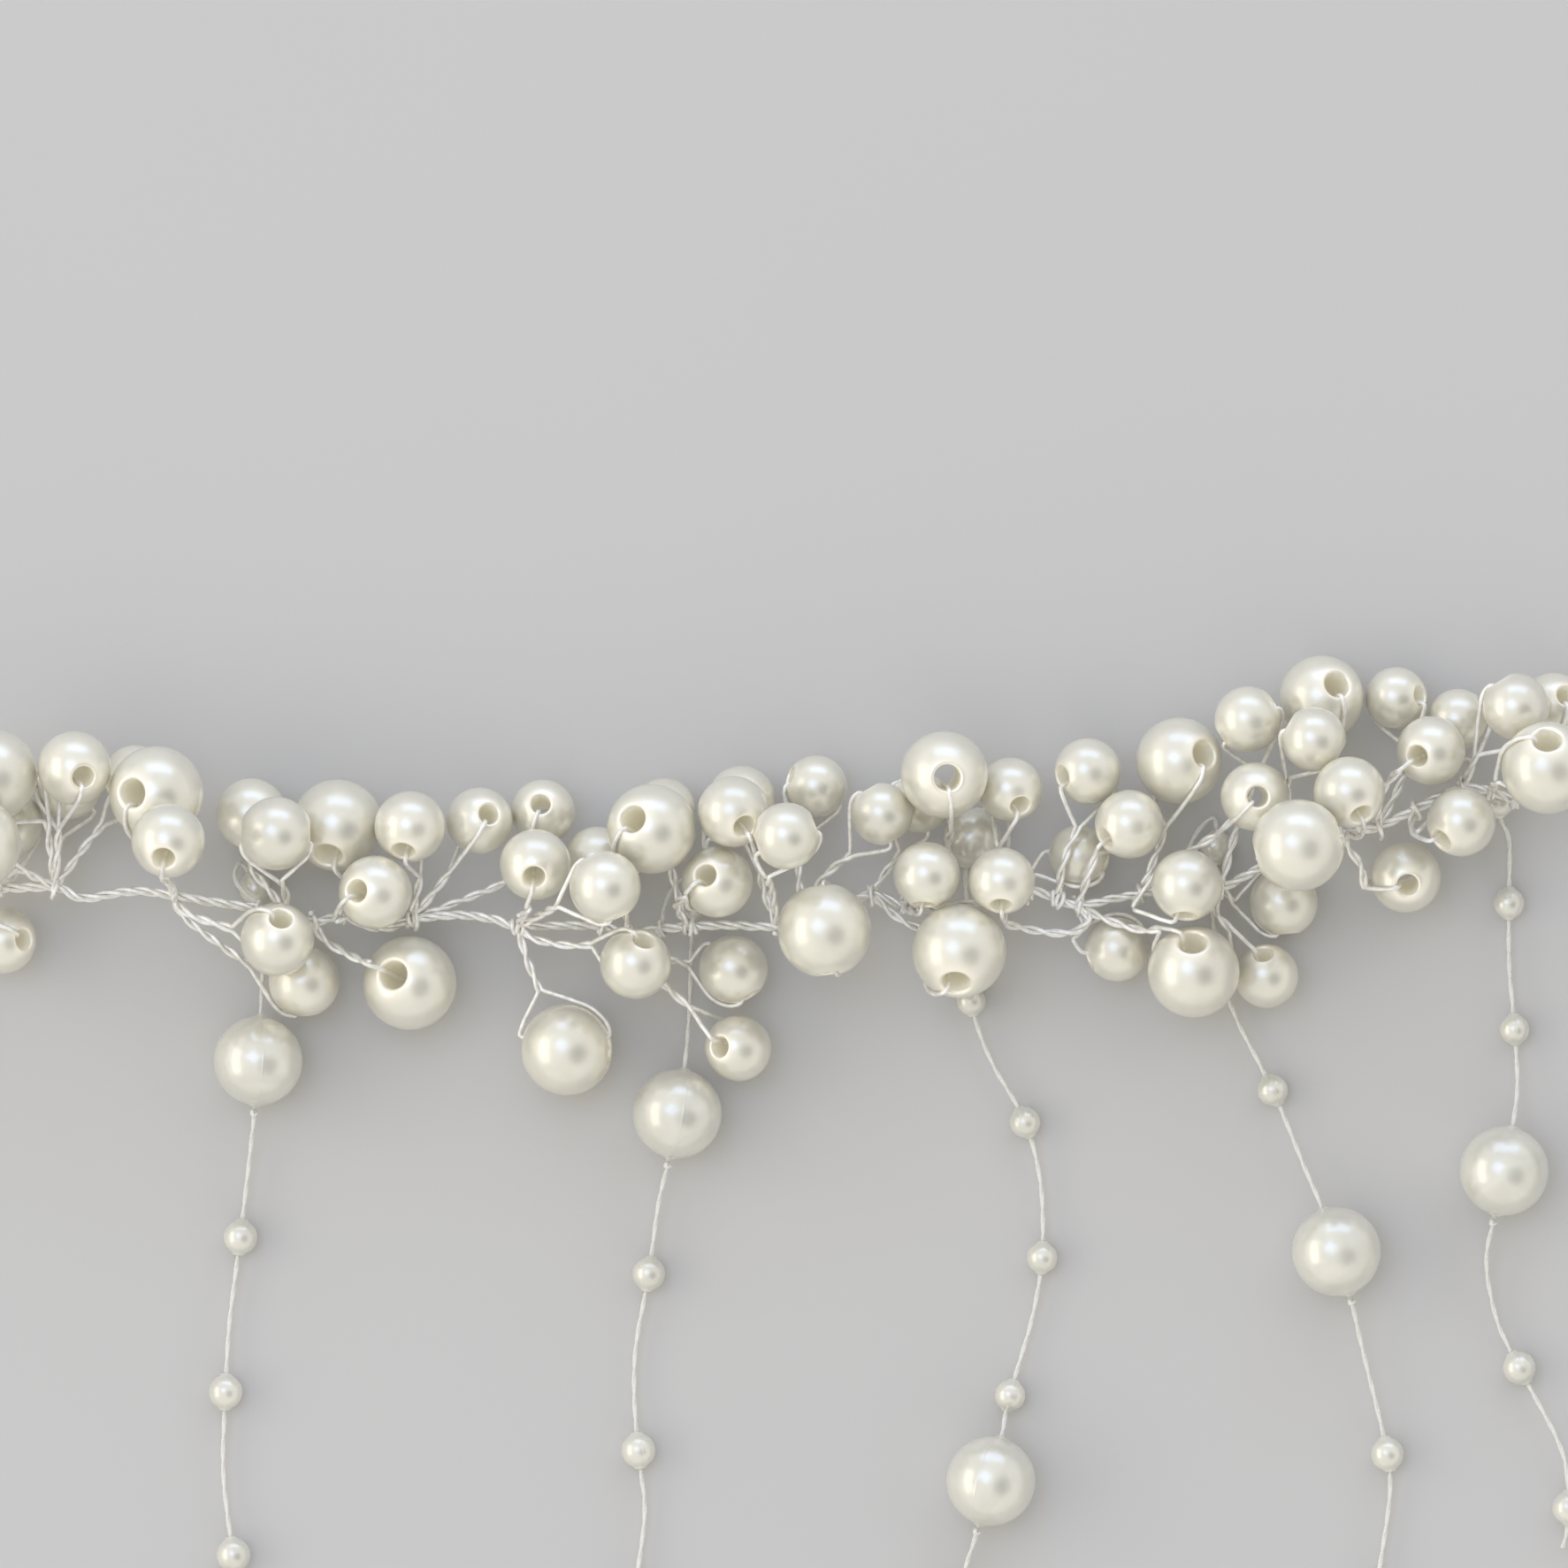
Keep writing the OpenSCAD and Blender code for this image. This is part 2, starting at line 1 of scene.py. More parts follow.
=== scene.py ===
"""A pearl hair vine with two side combs and five hanging bead strands, on a studio floor.

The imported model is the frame, in metres: X runs along the vine, Y towards its upper edge and Z up
from the surface that it lies on. The tables are in millimetres, measured from the point that the
camera looks down on.
"""
import math

import bmesh
import bpy
from mathutils import Euler, Matrix, Vector


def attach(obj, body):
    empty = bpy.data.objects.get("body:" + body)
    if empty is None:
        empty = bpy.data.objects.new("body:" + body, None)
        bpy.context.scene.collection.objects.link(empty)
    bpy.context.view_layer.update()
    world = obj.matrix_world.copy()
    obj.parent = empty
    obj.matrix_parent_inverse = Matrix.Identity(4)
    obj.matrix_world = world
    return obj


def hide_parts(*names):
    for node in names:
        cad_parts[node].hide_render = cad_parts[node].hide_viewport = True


bl_info = {
    "name": "Pearl hair vine",
    "version": (1, 0, 0),
    "blender": (4, 5, 0),
    "location": "View3D > Sidebar > Hair vine",
    "description": "Builds the pearls, wires, bead strands and comb finishes of a hair vine",
    "category": "Add Mesh",
}

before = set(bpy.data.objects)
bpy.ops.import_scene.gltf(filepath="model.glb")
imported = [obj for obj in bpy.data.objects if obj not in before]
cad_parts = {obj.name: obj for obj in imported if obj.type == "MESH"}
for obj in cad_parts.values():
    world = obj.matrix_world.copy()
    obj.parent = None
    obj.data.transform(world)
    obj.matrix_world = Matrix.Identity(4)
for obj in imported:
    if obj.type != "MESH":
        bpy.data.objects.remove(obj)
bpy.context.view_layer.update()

MM = 0.001

# Main wire, from the left comb to the right one: x, y, height
SPINE = [
    (-82, -9.4, 3.4), (-78, -9.6, 4.6), (-73, -9.4, 5.6), (-68.2, -9.1, 6), (-63.4, -9, 6), (-60.9, -9.9, 6),
    (-56.7, -9.3, 6), (-53, -9.7, 6), (-49.7, -10.3, 5.8), (-45.9, -10.8, 5.4), (-43.4, -11.6, 5.2),
    (-40.9, -12, 5), (-38.4, -11.5, 5), (-36.2, -12.4, 4.8), (-34.3, -12.5, 4.8), (-32.4, -11.8, 5),
    (-28.2, -11.4, 5), (-25.1, -11.8, 5), (-23.2, -12.4, 5), (-19, -12.3, 5), (-15.9, -12.4, 5),
    (-13.4, -13, 5), (-10.8, -12.6, 5), (-8.2, -12.4, 5), (-5.1, -12.3, 5), (-0.6, -12.4, 4.8),
    (2.6, -11.8, 4.6), (5, -10.8, 4.8), (7.6, -9.6, 5), (10.4, -10.6, 4.8), (13.5, -10.8, 4.8),
    (17.5, -10.1, 4.8), (21.4, -9.3, 5), (23.8, -10, 5.2), (25.6, -10.6, 5.2), (28.6, -10, 5),
    (31, -9.6, 4.8), (34.4, -8.9, 4.6), (38, -9, 4.6), (41.4, -7.3, 4.8), (45, -5.6, 5.2),
    (48.7, -4.4, 5.4), (51.8, -3.7, 5.4), (54.9, -2.2, 5.4), (56.8, -1.2, 5.4), (59, -0.4, 5.4),
    (61.6, -0.6, 5.4), (63.6, -1.4, 5.2), (66.6, -0.9, 5), (70, -0.6, 5), (74, -0.8, 4.8),
    (78, -1.2, 4.2), (82, -1.6, 3.2),
]

# Pearls by spray. A row holds the pearl's place, its diameter, the way that its bore faces as turn
# and lift in degrees, the point of the main wire that its stem starts from, and the stem's route
FIRST_SPRAY = [
    ((-68.8, 0.8, 8.9), 8, (200, 10), 4, [(-64.1, -3.2, 6.6)]),
    ((-70.1, -5.2, 14.2), 8, (200, 50), 4, [(-66.6, -7.3, 9.9)]),
    ((-67.3, -3.4, 3.6), 5.6, (10, -40), 3, [(-67.1, -8, 4.7)]),
    ((-61.6, 1.4, 10.4), 6.4, (-43, 66), 4, [(-63, -3.8, 7.8)]),
    ((-62.3, -0.2, 3.6), 5.8, (150, 10), 4, [(-63.5, -6, 6.2), (-62.8, -4.4, 5)]),
    ((-56.5, 0.6, 3.6), 5.6, (20, -35), 4, [(-61, -5.6, 5.4), (-59.3, -3.5, 5.2)]),
    ((-68, -13.6, 3.9), 5.8, (3, 46), 3, [(-69, -10.4, 6.4), (-71, -11.2, 6.8)]),
]
SECOND_SPRAY = [
    ((-54.5, -0.8, 10.2), 8.2, (180, 58), 7, [(-54, -8, 6.8), (-55.2, -5.9, 7.4)]),
    ((-53.3, -4.9, 16.6), 6.4, (-102, 58), 7, [(-53.1, -9, 9.5), (-53.6, -8.3, 12.8)]),
    ((-46.4, -2.6, 3.9), 6.2, (92, -16), 10, [(-44.4, -9.6, 5), (-46.4, -7.5, 4.4)]),
    ((-44.1, -4.3, 10), 6.4, (0, 0), 10, [(-43.2, -9.8, 6.6), (-43.8, -8.4, 8.4)]),
    ((-44, -13.5, 9.4), 6.4, (79, 51), 7, [(-52.5, -11.2, 6.2), (-48, -12.6, 7)]),
    ((-41.8, -17.2, 3.9), 6.2, (-86, -10), 7,
     [(-52.7, -11.3, 5.4), (-48.4, -14.5, 4.8), (-46.4, -15.8, 4.5)]),
    ((-32.6, -17.3, 5), 8.2, (152, 66), 11, [(-40.2, -13.6, 5.2), (-37.6, -15, 6.8), (-36, -15.6, 8.6)]),
]
THIRD_SPRAY = [
    ((-38.9, -3.6, 4.8), 8, (-105, 43), 12, [(-38.1, -9.8, 5.2), (-38, -8.4, 5.4)]),
    ((-32.5, -3.7, 8.3), 6.2, (256, 40), 15, [(-31.9, -9.2, 5.4), (-31.7, -8, 5.9)]),
    ((-35.5, -9.4, 9.4), 6.4, (175, 58), 12, [(-39, -11.8, 8.2)]),
    ((-26.5, -3.2, 5.7), 5.8, (34, 67), 15, [(-30.6, -9.6, 5.2), (-29.1, -7.6, 5.6)]),
    ((-21, -2.4, 3.8), 5.6, (104, 75), 15, [(-28.2, -10.2, 4.6), (-24.4, -8.7, 3.9), (-22.6, -7.4, 3.6)]),
]
FOURTH_SPRAY = [
    ((-21.6, -7, 8.8), 6.2, (-94, 68), 18, [(-22.6, -11.2, 8.2), (-22.2, -10.8, 10)]),
    ((-16.3, -6.6, 3.9), 5.8, (200, 0), 20, [(-16.2, -10.7, 4.5)]),
    ((-15.5, -8.9, 13.8), 6.2, (113, -5), 18, [(-21.2, -11.4, 8), (-19.6, -10.5, 11.6)]),
    ((-11.5, -3.9, 10), 7.8, (152, 59), 21, [(-14.2, -10, 6.6), (-14.4, -8.8, 7.4)]),
    ((-12.9, -15.6, 9), 6.2, (71, 40), 18, [(-21.8, -13.6, 5.6), (-18.6, -14.1, 6.4), (-16.7, -14, 7.2)]),
    ((-4.4, -16.1, 3.9), 6, (120, -10), 21, [(-11.2, -15, 4.4), (-8.3, -15.7, 2.5)]),
    ((-4, -23, 3.9), 5.8, (175, 53), 21, [(-12, -15.6, 4.8), (-10.4, -17.6, 4.6), (-8.1, -19.5, 4.6)]),
    ((-18.9, -23.1, 4.9), 8, (0, 10), 18, [(-22.4, -15.4, 5), (-21.2, -18, 5)]),
]
FIFTH_SPRAY = [
    ((-10.4, -2.2, 3.6), 5.4, (100, -30), 23, [(-9.3, -9.6, 4.4), (-9.9, -7, 3.8)]),
    ((-4.4, -2.4, 10.5), 6.2, (-52, 56), 25, [(-1.8, -9.4, 5.8), (-2.2, -7.6, 7.4)]),
    ((-3.7, -1.4, 3.8), 6, (150, -10), 23, [(-7.2, -8.6, 3.9), (-6.8, -4.8, 3.8)]),
    ((-5.8, -8.5, 8.8), 6.2, (150, 66), 23, [(-9.6, -10.6, 8), (-8.5, -9.6, 11.1)]),
    ((0.2, -4.5, 14), 5.8, (200, 0), 25, [(-1, -9.4, 8), (-1.5, -8, 12)]),
]
SIXTH_SPRAY = [
    ((2.8, -0.2, 3.8), 5.4, (160, 15), 26, [(1.2, -9.4, 4.6), (1.3, -5, 4)]),
    ((3.5, -12.7, 10.2), 8.2, (-82, 5), 27, [(4.6, -9.4, 6.2)]),
    ((8.5, -2.6, 8), 5.4, (120, 0), 26, [(2.8, -8.7, 5.2), (4.4, -7.2, 5.8), (5.9, -6.1, 6.3)]),
    ((11.8, -1.6, 3.6), 5.4, (-60, -10), 28, [(9, -7.4, 4.6), (10.2, -6, 4)]),
    ((13.9, 0.8, 9.9), 7.6, (-45, 84), 30, [(14, -7.2, 5.2), (14.3, -4.8, 7), (14.5, -4, 8.4)]),
    ((12.4, -7.9, 9.8), 5.8, (-95, 14), 29, [(10.9, -11, 7), (11.6, -11.2, 8.6)]),
    ((15.2, -14.5, 9.6), 8.2, (-96, 43), 28, [(10.1, -11.9, 5.4), (12, -12.6, 5.2), (13.6, -12.6, 4.9)]),
]
SEVENTH_SPRAY = [
    ((19.7, -0.5, 6.6), 5.6, (-60, 52), 32, [(19.2, -7.2, 6), (18.6, -5.4, 6.9)]),
    ((18.9, -8.4, 10.2), 5.8, (-92, 36), 34,
     [(27, -12, 6), (24.6, -13.2, 5.8), (21, -12.6, 5.6), (19.3, -12.2, 6.8)]),
    ((26.4, 1.1, 6), 5.8, (192, 33), 33, [(24.2, -6.8, 7.2), (25.5, -3.8, 7)]),
    ((25.7, -6.2, 3.7), 5.4, (160, -10), 32, [(21.6, -7.8, 4.2)]),
    ((30, -3.5, 8), 6, (209, 28), 34, [(26.4, -8, 7.2), (27.1, -6.2, 7.6)]),
    ((29, -14.4, 3.8), 5.6, (200, 10), 34, [(26.4, -12.4, 4.9), (25, -13.3, 4.6)]),
    ((35.6, -16.3, 7.8), 8, (93, 46), 34, [(27.4, -11.6, 5.8), (31, -12.8, 6.8), (32.6, -12.6, 8.6)]),
]
EIGHTH_SPRAY = [
    ((34.4, 2, 5.2), 7.6, (15, 51), 36, [(31.8, -7.6, 5.2), (32.8, -5, 5.6), (33.2, -3.6, 6)]),
    ((35, -8.8, 9.4), 6.2, (-95, 20), 36, [(30.4, -10.8, 8)]),
    ((43.5, -10.3, 3.6), 6, (-85, 0), 38, [(39.2, -10.3, 3.4)]),
    ((42, -16.7, 3.8), 5.6, (100, 42), 38, [(37.3, -11, 5.4), (38.8, -12.6, 6)]),
    ((40.9, -1.1, 9.8), 6, (0, 86), 36, [(32.2, -8, 5.4), (35.4, -5.8, 6.2), (37.6, -4.4, 7.6)]),
    ((40.3, 5.6, 7.8), 5.8, (34, 6), 38,
     [(38.6, -6.8, 4.8), (39.2, -4.4, 4.3), (40.6, -0.6, 4.2), (41.2, 1.2, 4.6)]),
]
NINTH_SPRAY = [
    ((46.8, 7.5, 4.8), 7.4, (42, 60), 41, [(47.7, -1.5, 4.6), (47.8, 2.6, 4.8)]),
    ((46, 3.9, 10.5), 5.6, (150, 0), 40, [(43.7, -2, 6.2), (43.8, 0.6, 7.9)]),
    ((49, -0.7, 13), 6.2, (-63, 40), 41, [(50.1, -4.5, 8), (50.1, -4.3, 9.8)]),
    ((44.5, -5.3, 16.4), 8, (195, -5), 40, [(45.8, -5.8, 8), (46.1, -5.7, 10.8)]),
    ((53.3, 7.5, 3.8), 5.4, (185, -35), 42, [(53.4, -0.6, 4.8), (54.4, 1.6, 4.4), (54.3, 3.2, 4.4)]),
    ((56.2, 2.9, 8.4), 6, (202, 61), 42, [(51.6, -1.4, 7.6), (52.4, 0.2, 9.4), (53.4, 1.2, 10.7)]),
    ((54.1, -8.1, 4.6), 6.2, (-80, 76), 41, [(49.1, -5.7, 5.1), (50.3, -7, 5.4), (50.5, -9.1, 5.6)]),
]
TENTH_SPRAY = [
    ((58.8, -3.3, 9.4), 6, (221, 33), 43, [(54.5, -3.6, 7), (54.8, -4.3, 8.6)]),
    ((58.7, 5.6, 3.7), 5.4, (-150, -10), 45, [(59.7, 1.2, 5), (60, 2, 4.6)]),
    ((63.6, 6.7, 8.8), 5.8, (122, 0), 45, [(59.6, 1, 6.2), (60.2, 2.6, 7)]),
    ((67, 6.9, 3.8), 5.6, (37, 60), 48, [(66.6, 0.8, 4.4), (66.6, 2.6, 4)]),
    ((66.2, 1.4, 13), 8, (93, 49), 46, [(61.6, -0.2, 8), (61.9, 0.3, 10.5)]),
]
SPRAYS = [
    FIRST_SPRAY, SECOND_SPRAY, THIRD_SPRAY, FOURTH_SPRAY, FIFTH_SPRAY,
    SIXTH_SPRAY, SEVENTH_SPRAY, EIGHTH_SPRAY, NINTH_SPRAY, TENTH_SPRAY,
]

# Diameter from which a spray's pearl is a piece of its own, and a strand's bead is its drop
LARGE_FROM = 7

# Points of the main wire where the strands are tied
TIES = [9, 22, 31, 37, 47]

# Strands from the main wire down. A row holds a place, and the diameter of the bead there or 0
STRANDS = [
    [
        ((-48, -8.6, 3.8), 0), ((-47.6, -6.6, 2.5), 0), ((-46.1, -9.1, 2.2), 2.8), ((-45.3, -14, 1.4), 0),
        ((-45.5, -17.6, 1.8), 0), ((-45.8, -24.1, 4), 7.8), ((-46.4, -31, 1.8), 0), ((-47.4, -39.5, 1.5), 3),
        ((-48.4, -47, 1), 0), ((-48.7, -53, 1.5), 3), ((-49, -60, 1), 0), ((-48, -67.2, 1.5), 3),
        ((-47.2, -70.4, 0.8), 0),
    ],
    [
        ((-10.3, -9.9, 3), 0), ((-8.6, -7.9, 2.6), 0), ((-7.9, -10.6, 2.4), 2.6), ((-8.1, -13.2, 1.2), 0),
        ((-8.2, -20, 1.2), 0), ((-9.3, -28.7, 3.9), 7.8), ((-10.9, -36, 1.8), 0), ((-11.8, -42.7, 1.5), 2.9),
        ((-13, -49, 1), 0), ((-13.1, -53, 1), 0), ((-12.7, -58.1, 1.5), 3), ((-12, -63.3, 1), 0),
        ((-12.7, -68.4, 1), 0), ((-13.2, -71.2, 1.5), 3), ((-13.5, -73.4, 1), 0),
    ],
    [
        ((19.8, -6, 3.6), 0), ((19.2, -1.6, 2.7), 0), ((16.4, -4.7, 2.7), 5.2), ((16.2, -12, 1.6), 0),
        ((16.3, -18.9, 1.4), 2.6), ((18.2, -24.6, 1), 0), ((21, -29.5, 1.4), 2.7), ((22.5, -35, 1), 0),
        ((22.5, -41.3, 1.4), 2.7), ((21.6, -47, 1), 0), ((19.7, -53.3, 1.4), 2.7), ((18, -60.7, 3.9), 7.8),
        ((15.9, -68, 1.6), 0), ((15.1, -71.2, 1.5), 3), ((14.6, -73.4, 1), 0),
    ],
    [
        ((35.4, -4.8, 2.6), 0), ((37.4, -2.6, 1.6), 0), ((37.7, -5.5, 1.5), 2.9), ((37.2, -11.4, 1.2), 0),
        ((38.6, -19, 1), 0), ((42.6, -26.7, 1.4), 2.7), ((45.6, -34, 1.8), 0), ((48.1, -40.7, 4), 7.8),
        ((50.2, -48.4, 1.8), 0), ((52.6, -58.4, 1.5), 2.9), ((52.8, -63, 1), 0), ((51.9, -68.6, 1), 0),
        ((51.5, -71.2, 1.5), 3), ((51.2, -73.4, 1), 0),
    ],
    [
        ((63.2, 0.6, 3.6), 0), ((62.3, -1.6, 2.2), 2.6), ((63.3, -4.4, 1.6), 0), ((63.2, -10.4, 1.4), 2.7),
        ((63.2, -16, 1), 0), ((63.7, -21.4, 1.4), 2.6), ((64, -26.4, 1.8), 0), ((62.7, -33.7, 4), 7.8),
        ((61, -41.4, 1.8), 0), ((62, -46.6, 1), 0), ((64.1, -50.9, 1.5), 2.9), ((68, -58, 1), 0),
        ((68.4, -63.1, 1.5), 2.9), ((67.9, -66.6, 1), 0),
    ],
]

# Diameters that the strand beads are moulded in, and how far past a bead its thread runs straight
BEAD_KINDS = (2.8, 5.2, 7.8)
PAST_BEAD = 0.3

# Turns of the bigger windings, by the point of the main wire that they sit on, and of all others
KNOTS = {15: 2.6, 18: 2.4, 23: 2.6, 33: 2.2}
OTHER_KNOTS = 0.9

# Points in a turn of a winding, and the distance between the points of a stem
COIL_STEPS = 12
STEM_STEP = 0.2

# Main wire on the combs: where its winding starts, its way along the bar in a turn, its turns and the
# points in one, the radii of the bar and of the model's wire round it, and the play between them
COMB_INNER = 85
TOOTH_PITCH = 4
WRAPS = 4
WRAP_STEPS = 16
BAR_RADIUS = 0.8
WRAP_WIRE_RADIUS = 0.4
WIRE_PLAY = 0.12

# Degrees from corner to corner of the model's winding. The bars stand as high as its corners reach
WRAP_CORNER = 72

TOP_Y = max(place[1] + size / 2 for spray in SPRAYS for place, size, *_ in spray)
LOW_Y = min(place[1] for strand in STRANDS for place, _ in strand)
MIDDLE = Vector((0, (TOP_Y + LOW_Y) / 2, 0))

# The picture that the camera answers: its width and the height of the pearls' middle, in millimetres,
# how far above that the camera hangs, and the width of its sensor
VIEW_WIDTH = 136.4
VIEW_LEVEL = 6
CAMERA_DISTANCE = 2000
SENSOR = 36

# Softboxes: name, way from the vine, then distance, width and height in metres, watts and colour
SOFTBOXES = [
    ("Key softbox", (-0.24, 0.2, 0.95), 1.1, 0.5, 0.55, 1.4, "A4C4FF"),
    ("Left softbox", (-0.87, 0.0, 0.5), 1.1, 1.1, 0.5, 2.2, "FFF8E6"),
    ("Upper softbox", (0.1, 0.91, 0.4), 1.2, 1.2, 0.5, 2.6, "A8C8FF"),
]

# Half the floor's width in metres
FLOOR_REACH = 12

# The room, and the part of its ceiling without light, which the pearls mirror as a soft dark spot: the
# way to its middle, and the cosines of the angles from there at which the shade starts and is full
ROOM_COLOUR = "F8F7F4"
SHADY_COLOUR = "5A5751"
SHADY_WAY = (0.48, -0.19, 0.86)
SHADY_COSINES = (0.88, 0.98)


def srgb(code):
    """Linear red, green and blue of a six-figure hexadecimal colour."""
    parts = [int(code[i:i + 2], 16) / 255 for i in (0, 2, 4)]
    return tuple(p / 12.92 if p <= 0.04045 else ((p + 0.055) / 1.055) ** 2.4 for p in parts)


def length(label, about, size_mm):
    """A length setting with its name, what it measures and its default in millimetres."""
    return bpy.props.FloatProperty(
        name=label, description=about, default=size_mm * MM, unit="LENGTH", precision=5)


def tint(label, about, code):
    """A colour setting with its name, what it colours and its default."""
    return bpy.props.FloatVectorProperty(
        name=label, description=about, default=srgb(code), subtype="COLOR", min=0, max=1)


class HairVineSizes(bpy.types.PropertyGroup):
    """Sizes of the wires, bores, beads and threads"""
    wire_radius: length("Spray wire radius", "Single wire that passes through a pearl", 0.2)
    stem_lay: length("Stem lay", "Length in which a stem's two strands turn once round each other", 4.2)
    main_strand_radius: length("Main wire strand radius", "Radius of one of the main wire's strands", 0.21)
    main_lay: length("Main wire lay", "Length in which the main wire's strands turn once", 5)
    crinkle: length("Wire crinkle", "How far a hand-twisted wire strays from its route", 0.1)
    lip: bpy.props.FloatProperty(
        name="Bore lip", description="Rounding of a bore's lip, as a share of the pearl's radius",
        default=0.065, min=0.02, max=0.2, subtype="FACTOR")
    bore: bpy.props.FloatProperty(
        name="Bore", description="Radius of a pearl's bore, as a share of the pearl's radius",
        default=0.3, min=0.1, max=0.5, subtype="FACTOR")
    ply_radius: length("Thread ply radius", "Radius of one of a thread's two plies", 0.15)
    thread_lay: length("Thread lay", "Length in which a thread's plies turn once", 4.5)
    nib_radius: length("Nib radius", "Radius of the moulded nib's tip at each end of a strand bead", 0.43)
    nib_length: length("Nib length", "How far that nib stands out of the bead", 0.1)


class HairVineColours(bpy.types.PropertyGroup):
    """Colours of the finishes"""
    lacquer: tint("Pearl lacquer", "Ivory lacquer of the vine's pearls", "EFEBDB")
    lacquer_shade: tint("Lacquer shade", "Cooler clouds in that lacquer", "E6E2D3")
    # The lip colour is lighter than the lacquer: a painted highlight round a bore's rim.
    lip: tint("Bore lip", "Lacquer gathered round a bore", "FFF9E8")
    # Also the colour of the painted glow inside a bore.
    core: tint("Bead core", "Bare plastic inside a bore", "DAD6C6")
    silver: tint("Silvered wire", "Wire of the vine", "FFFDF8")
    tarnish: tint("Wire shade", "Duller places of the wire", "E6E2D8")
    milk: tint("Strand bead", "Milky plastic of the strand beads", "E6E3D6")
    thread: tint("Thread", "Cotton thread of the strands", "F5F3EA")
    steel: tint("Comb", "Bright steel of the combs", "B9BBBE")
    floor: tint("Floor", "Pale studio floor", "CBC9C6")


# Nodes

def fill(tree, socket, value):
    """Gives an input its value, or links it to the socket that feeds it."""
    if isinstance(value, bpy.types.NodeSocket):
        tree.links.new(value, socket)
    else:
        socket.default_value = (*value, 1) if socket.type == "RGBA" else value


def add_node(tree, kind, settings=None, feeds=None):
    """Adds a node. settings are its own properties, and feeds its inputs, by value or by socket."""
    made = tree.nodes.new(kind)
    for name, value in (settings or {}).items():
        setattr(made, name, value)
    for key, value in (feeds or {}).items():
        fill(tree, made.inputs[key], value)
    return made


def new_tree(name, inputs):
    """An empty geometry tree with these named inputs, and its input and output nodes."""
    tree = bpy.data.node_groups.new(name, "GeometryNodeTree")
    tree.interface.new_socket("Geometry", in_out="OUTPUT", socket_type="NodeSocketGeometry")
    tree.interface.new_socket("Geometry", in_out="INPUT", socket_type="NodeSocketGeometry")
    for label, kind in inputs:
        tree.interface.new_socket(label, in_out="INPUT", socket_type="NodeSocket" + kind)
    return tree, tree.nodes.new("NodeGroupInput").outputs, tree.nodes.new("NodeGroupOutput")


def wire_tree():
    """Strands that follow a route and turn round each other, with a hand-twisted waver."""
    tree, given, out = new_tree("Wire along a route", [
        ("Strands", "Int"), ("Strand radius", "Float"), ("Strand offset", "Float"), ("Lay length", "Float"),
        ("Step", "Float"), ("Sides", "Int"), ("Crinkle", "Float"), ("Crinkle scale", "Float"),
        ("Finish", "Material"),
    ])
    route = add_node(tree, "GeometryNodeMeshToCurve", None, {0: given["Geometry"]})
    even = add_node(
        tree, "GeometryNodeResampleCurve", {"mode": "LENGTH"},
        {0: route.outputs[0], "Length": given["Step"]})
    noise = add_node(tree, "ShaderNodeTexNoise", None, {"Scale": given["Crinkle scale"], "Detail": 1.0})
    centred = add_node(
        tree, "ShaderNodeVectorMath", {"operation": "SUBTRACT"},
        {0: noise.outputs["Color"], 1: (0.5,) * 3})
    waver = add_node(
        tree, "ShaderNodeVectorMath", {"operation": "SCALE"},
        {0: centred.outputs[0], "Scale": given["Crinkle"]})
    bent = add_node(tree, "GeometryNodeSetPosition", None, {0: even.outputs[0], "Offset": waver.outputs[0]})
    along = add_node(tree, "GeometryNodeSplineParameter")
    turns = add_node(
        tree, "ShaderNodeMath", {"operation": "DIVIDE"},
        {0: along.outputs["Length"], 1: given["Lay length"]})
    angle = add_node(tree, "ShaderNodeMath", {"operation": "MULTIPLY"}, {0: turns.outputs[0], 1: math.tau})
    tilted = add_node(
        tree, "GeometryNodeSetCurveTilt", None, {0: bent.outputs[0], "Tilt": angle.outputs[0]})

    order = add_node(tree, "GeometryNodeInputIndex")
    share = add_node(
        tree, "ShaderNodeMath", {"operation": "DIVIDE"}, {0: order.outputs[0], 1: given["Strands"]})
    turn = add_node(tree, "ShaderNodeMath", {"operation": "MULTIPLY"}, {0: share.outputs[0], 1: math.tau})
    cosine = add_node(tree, "ShaderNodeMath", {"operation": "COSINE"}, {0: turn.outputs[0]})
    sine = add_node(tree, "ShaderNodeMath", {"operation": "SINE"}, {0: turn.outputs[0]})
    spot = add_node(tree, "ShaderNodeCombineXYZ", None, {0: cosine.outputs[0], 1: sine.outputs[0]})
    spread = add_node(
        tree, "ShaderNodeVectorMath", {"operation": "SCALE"},
        {0: spot.outputs[0], "Scale": given["Strand offset"]})
    centres = add_node(
        tree, "GeometryNodePoints", None, {"Count": given["Strands"], "Position": spread.outputs[0]})
    ring = add_node(
        tree, "GeometryNodeCurvePrimitiveCircle", None,
        {"Resolution": given["Sides"], "Radius": given["Strand radius"]})
    rings = add_node(
        tree, "GeometryNodeInstanceOnPoints", None, {0: centres.outputs[0], "Instance": ring.outputs[0]})
    section = add_node(tree, "GeometryNodeRealizeInstances", None, {0: rings.outputs[0]})

    swept = add_node(
        tree, "GeometryNodeCurveToMesh", None,
        {0: tilted.outputs[0], "Profile Curve": section.outputs[0], "Fill Caps": True})
    smooth = add_node(tree, "GeometryNodeSetShadeSmooth", None, {0: swept.outputs[0]})
    real = add_node(tree, "GeometryNodeRealizeInstances", None, {0: smooth.outputs[0]})
    finished = add_node(
        tree, "GeometryNodeSetMaterial", None, {0: real.outputs[0], "Material": given["Finish"]})
    tree.links.new(finished.outputs[0], out.inputs[0])
    return tree


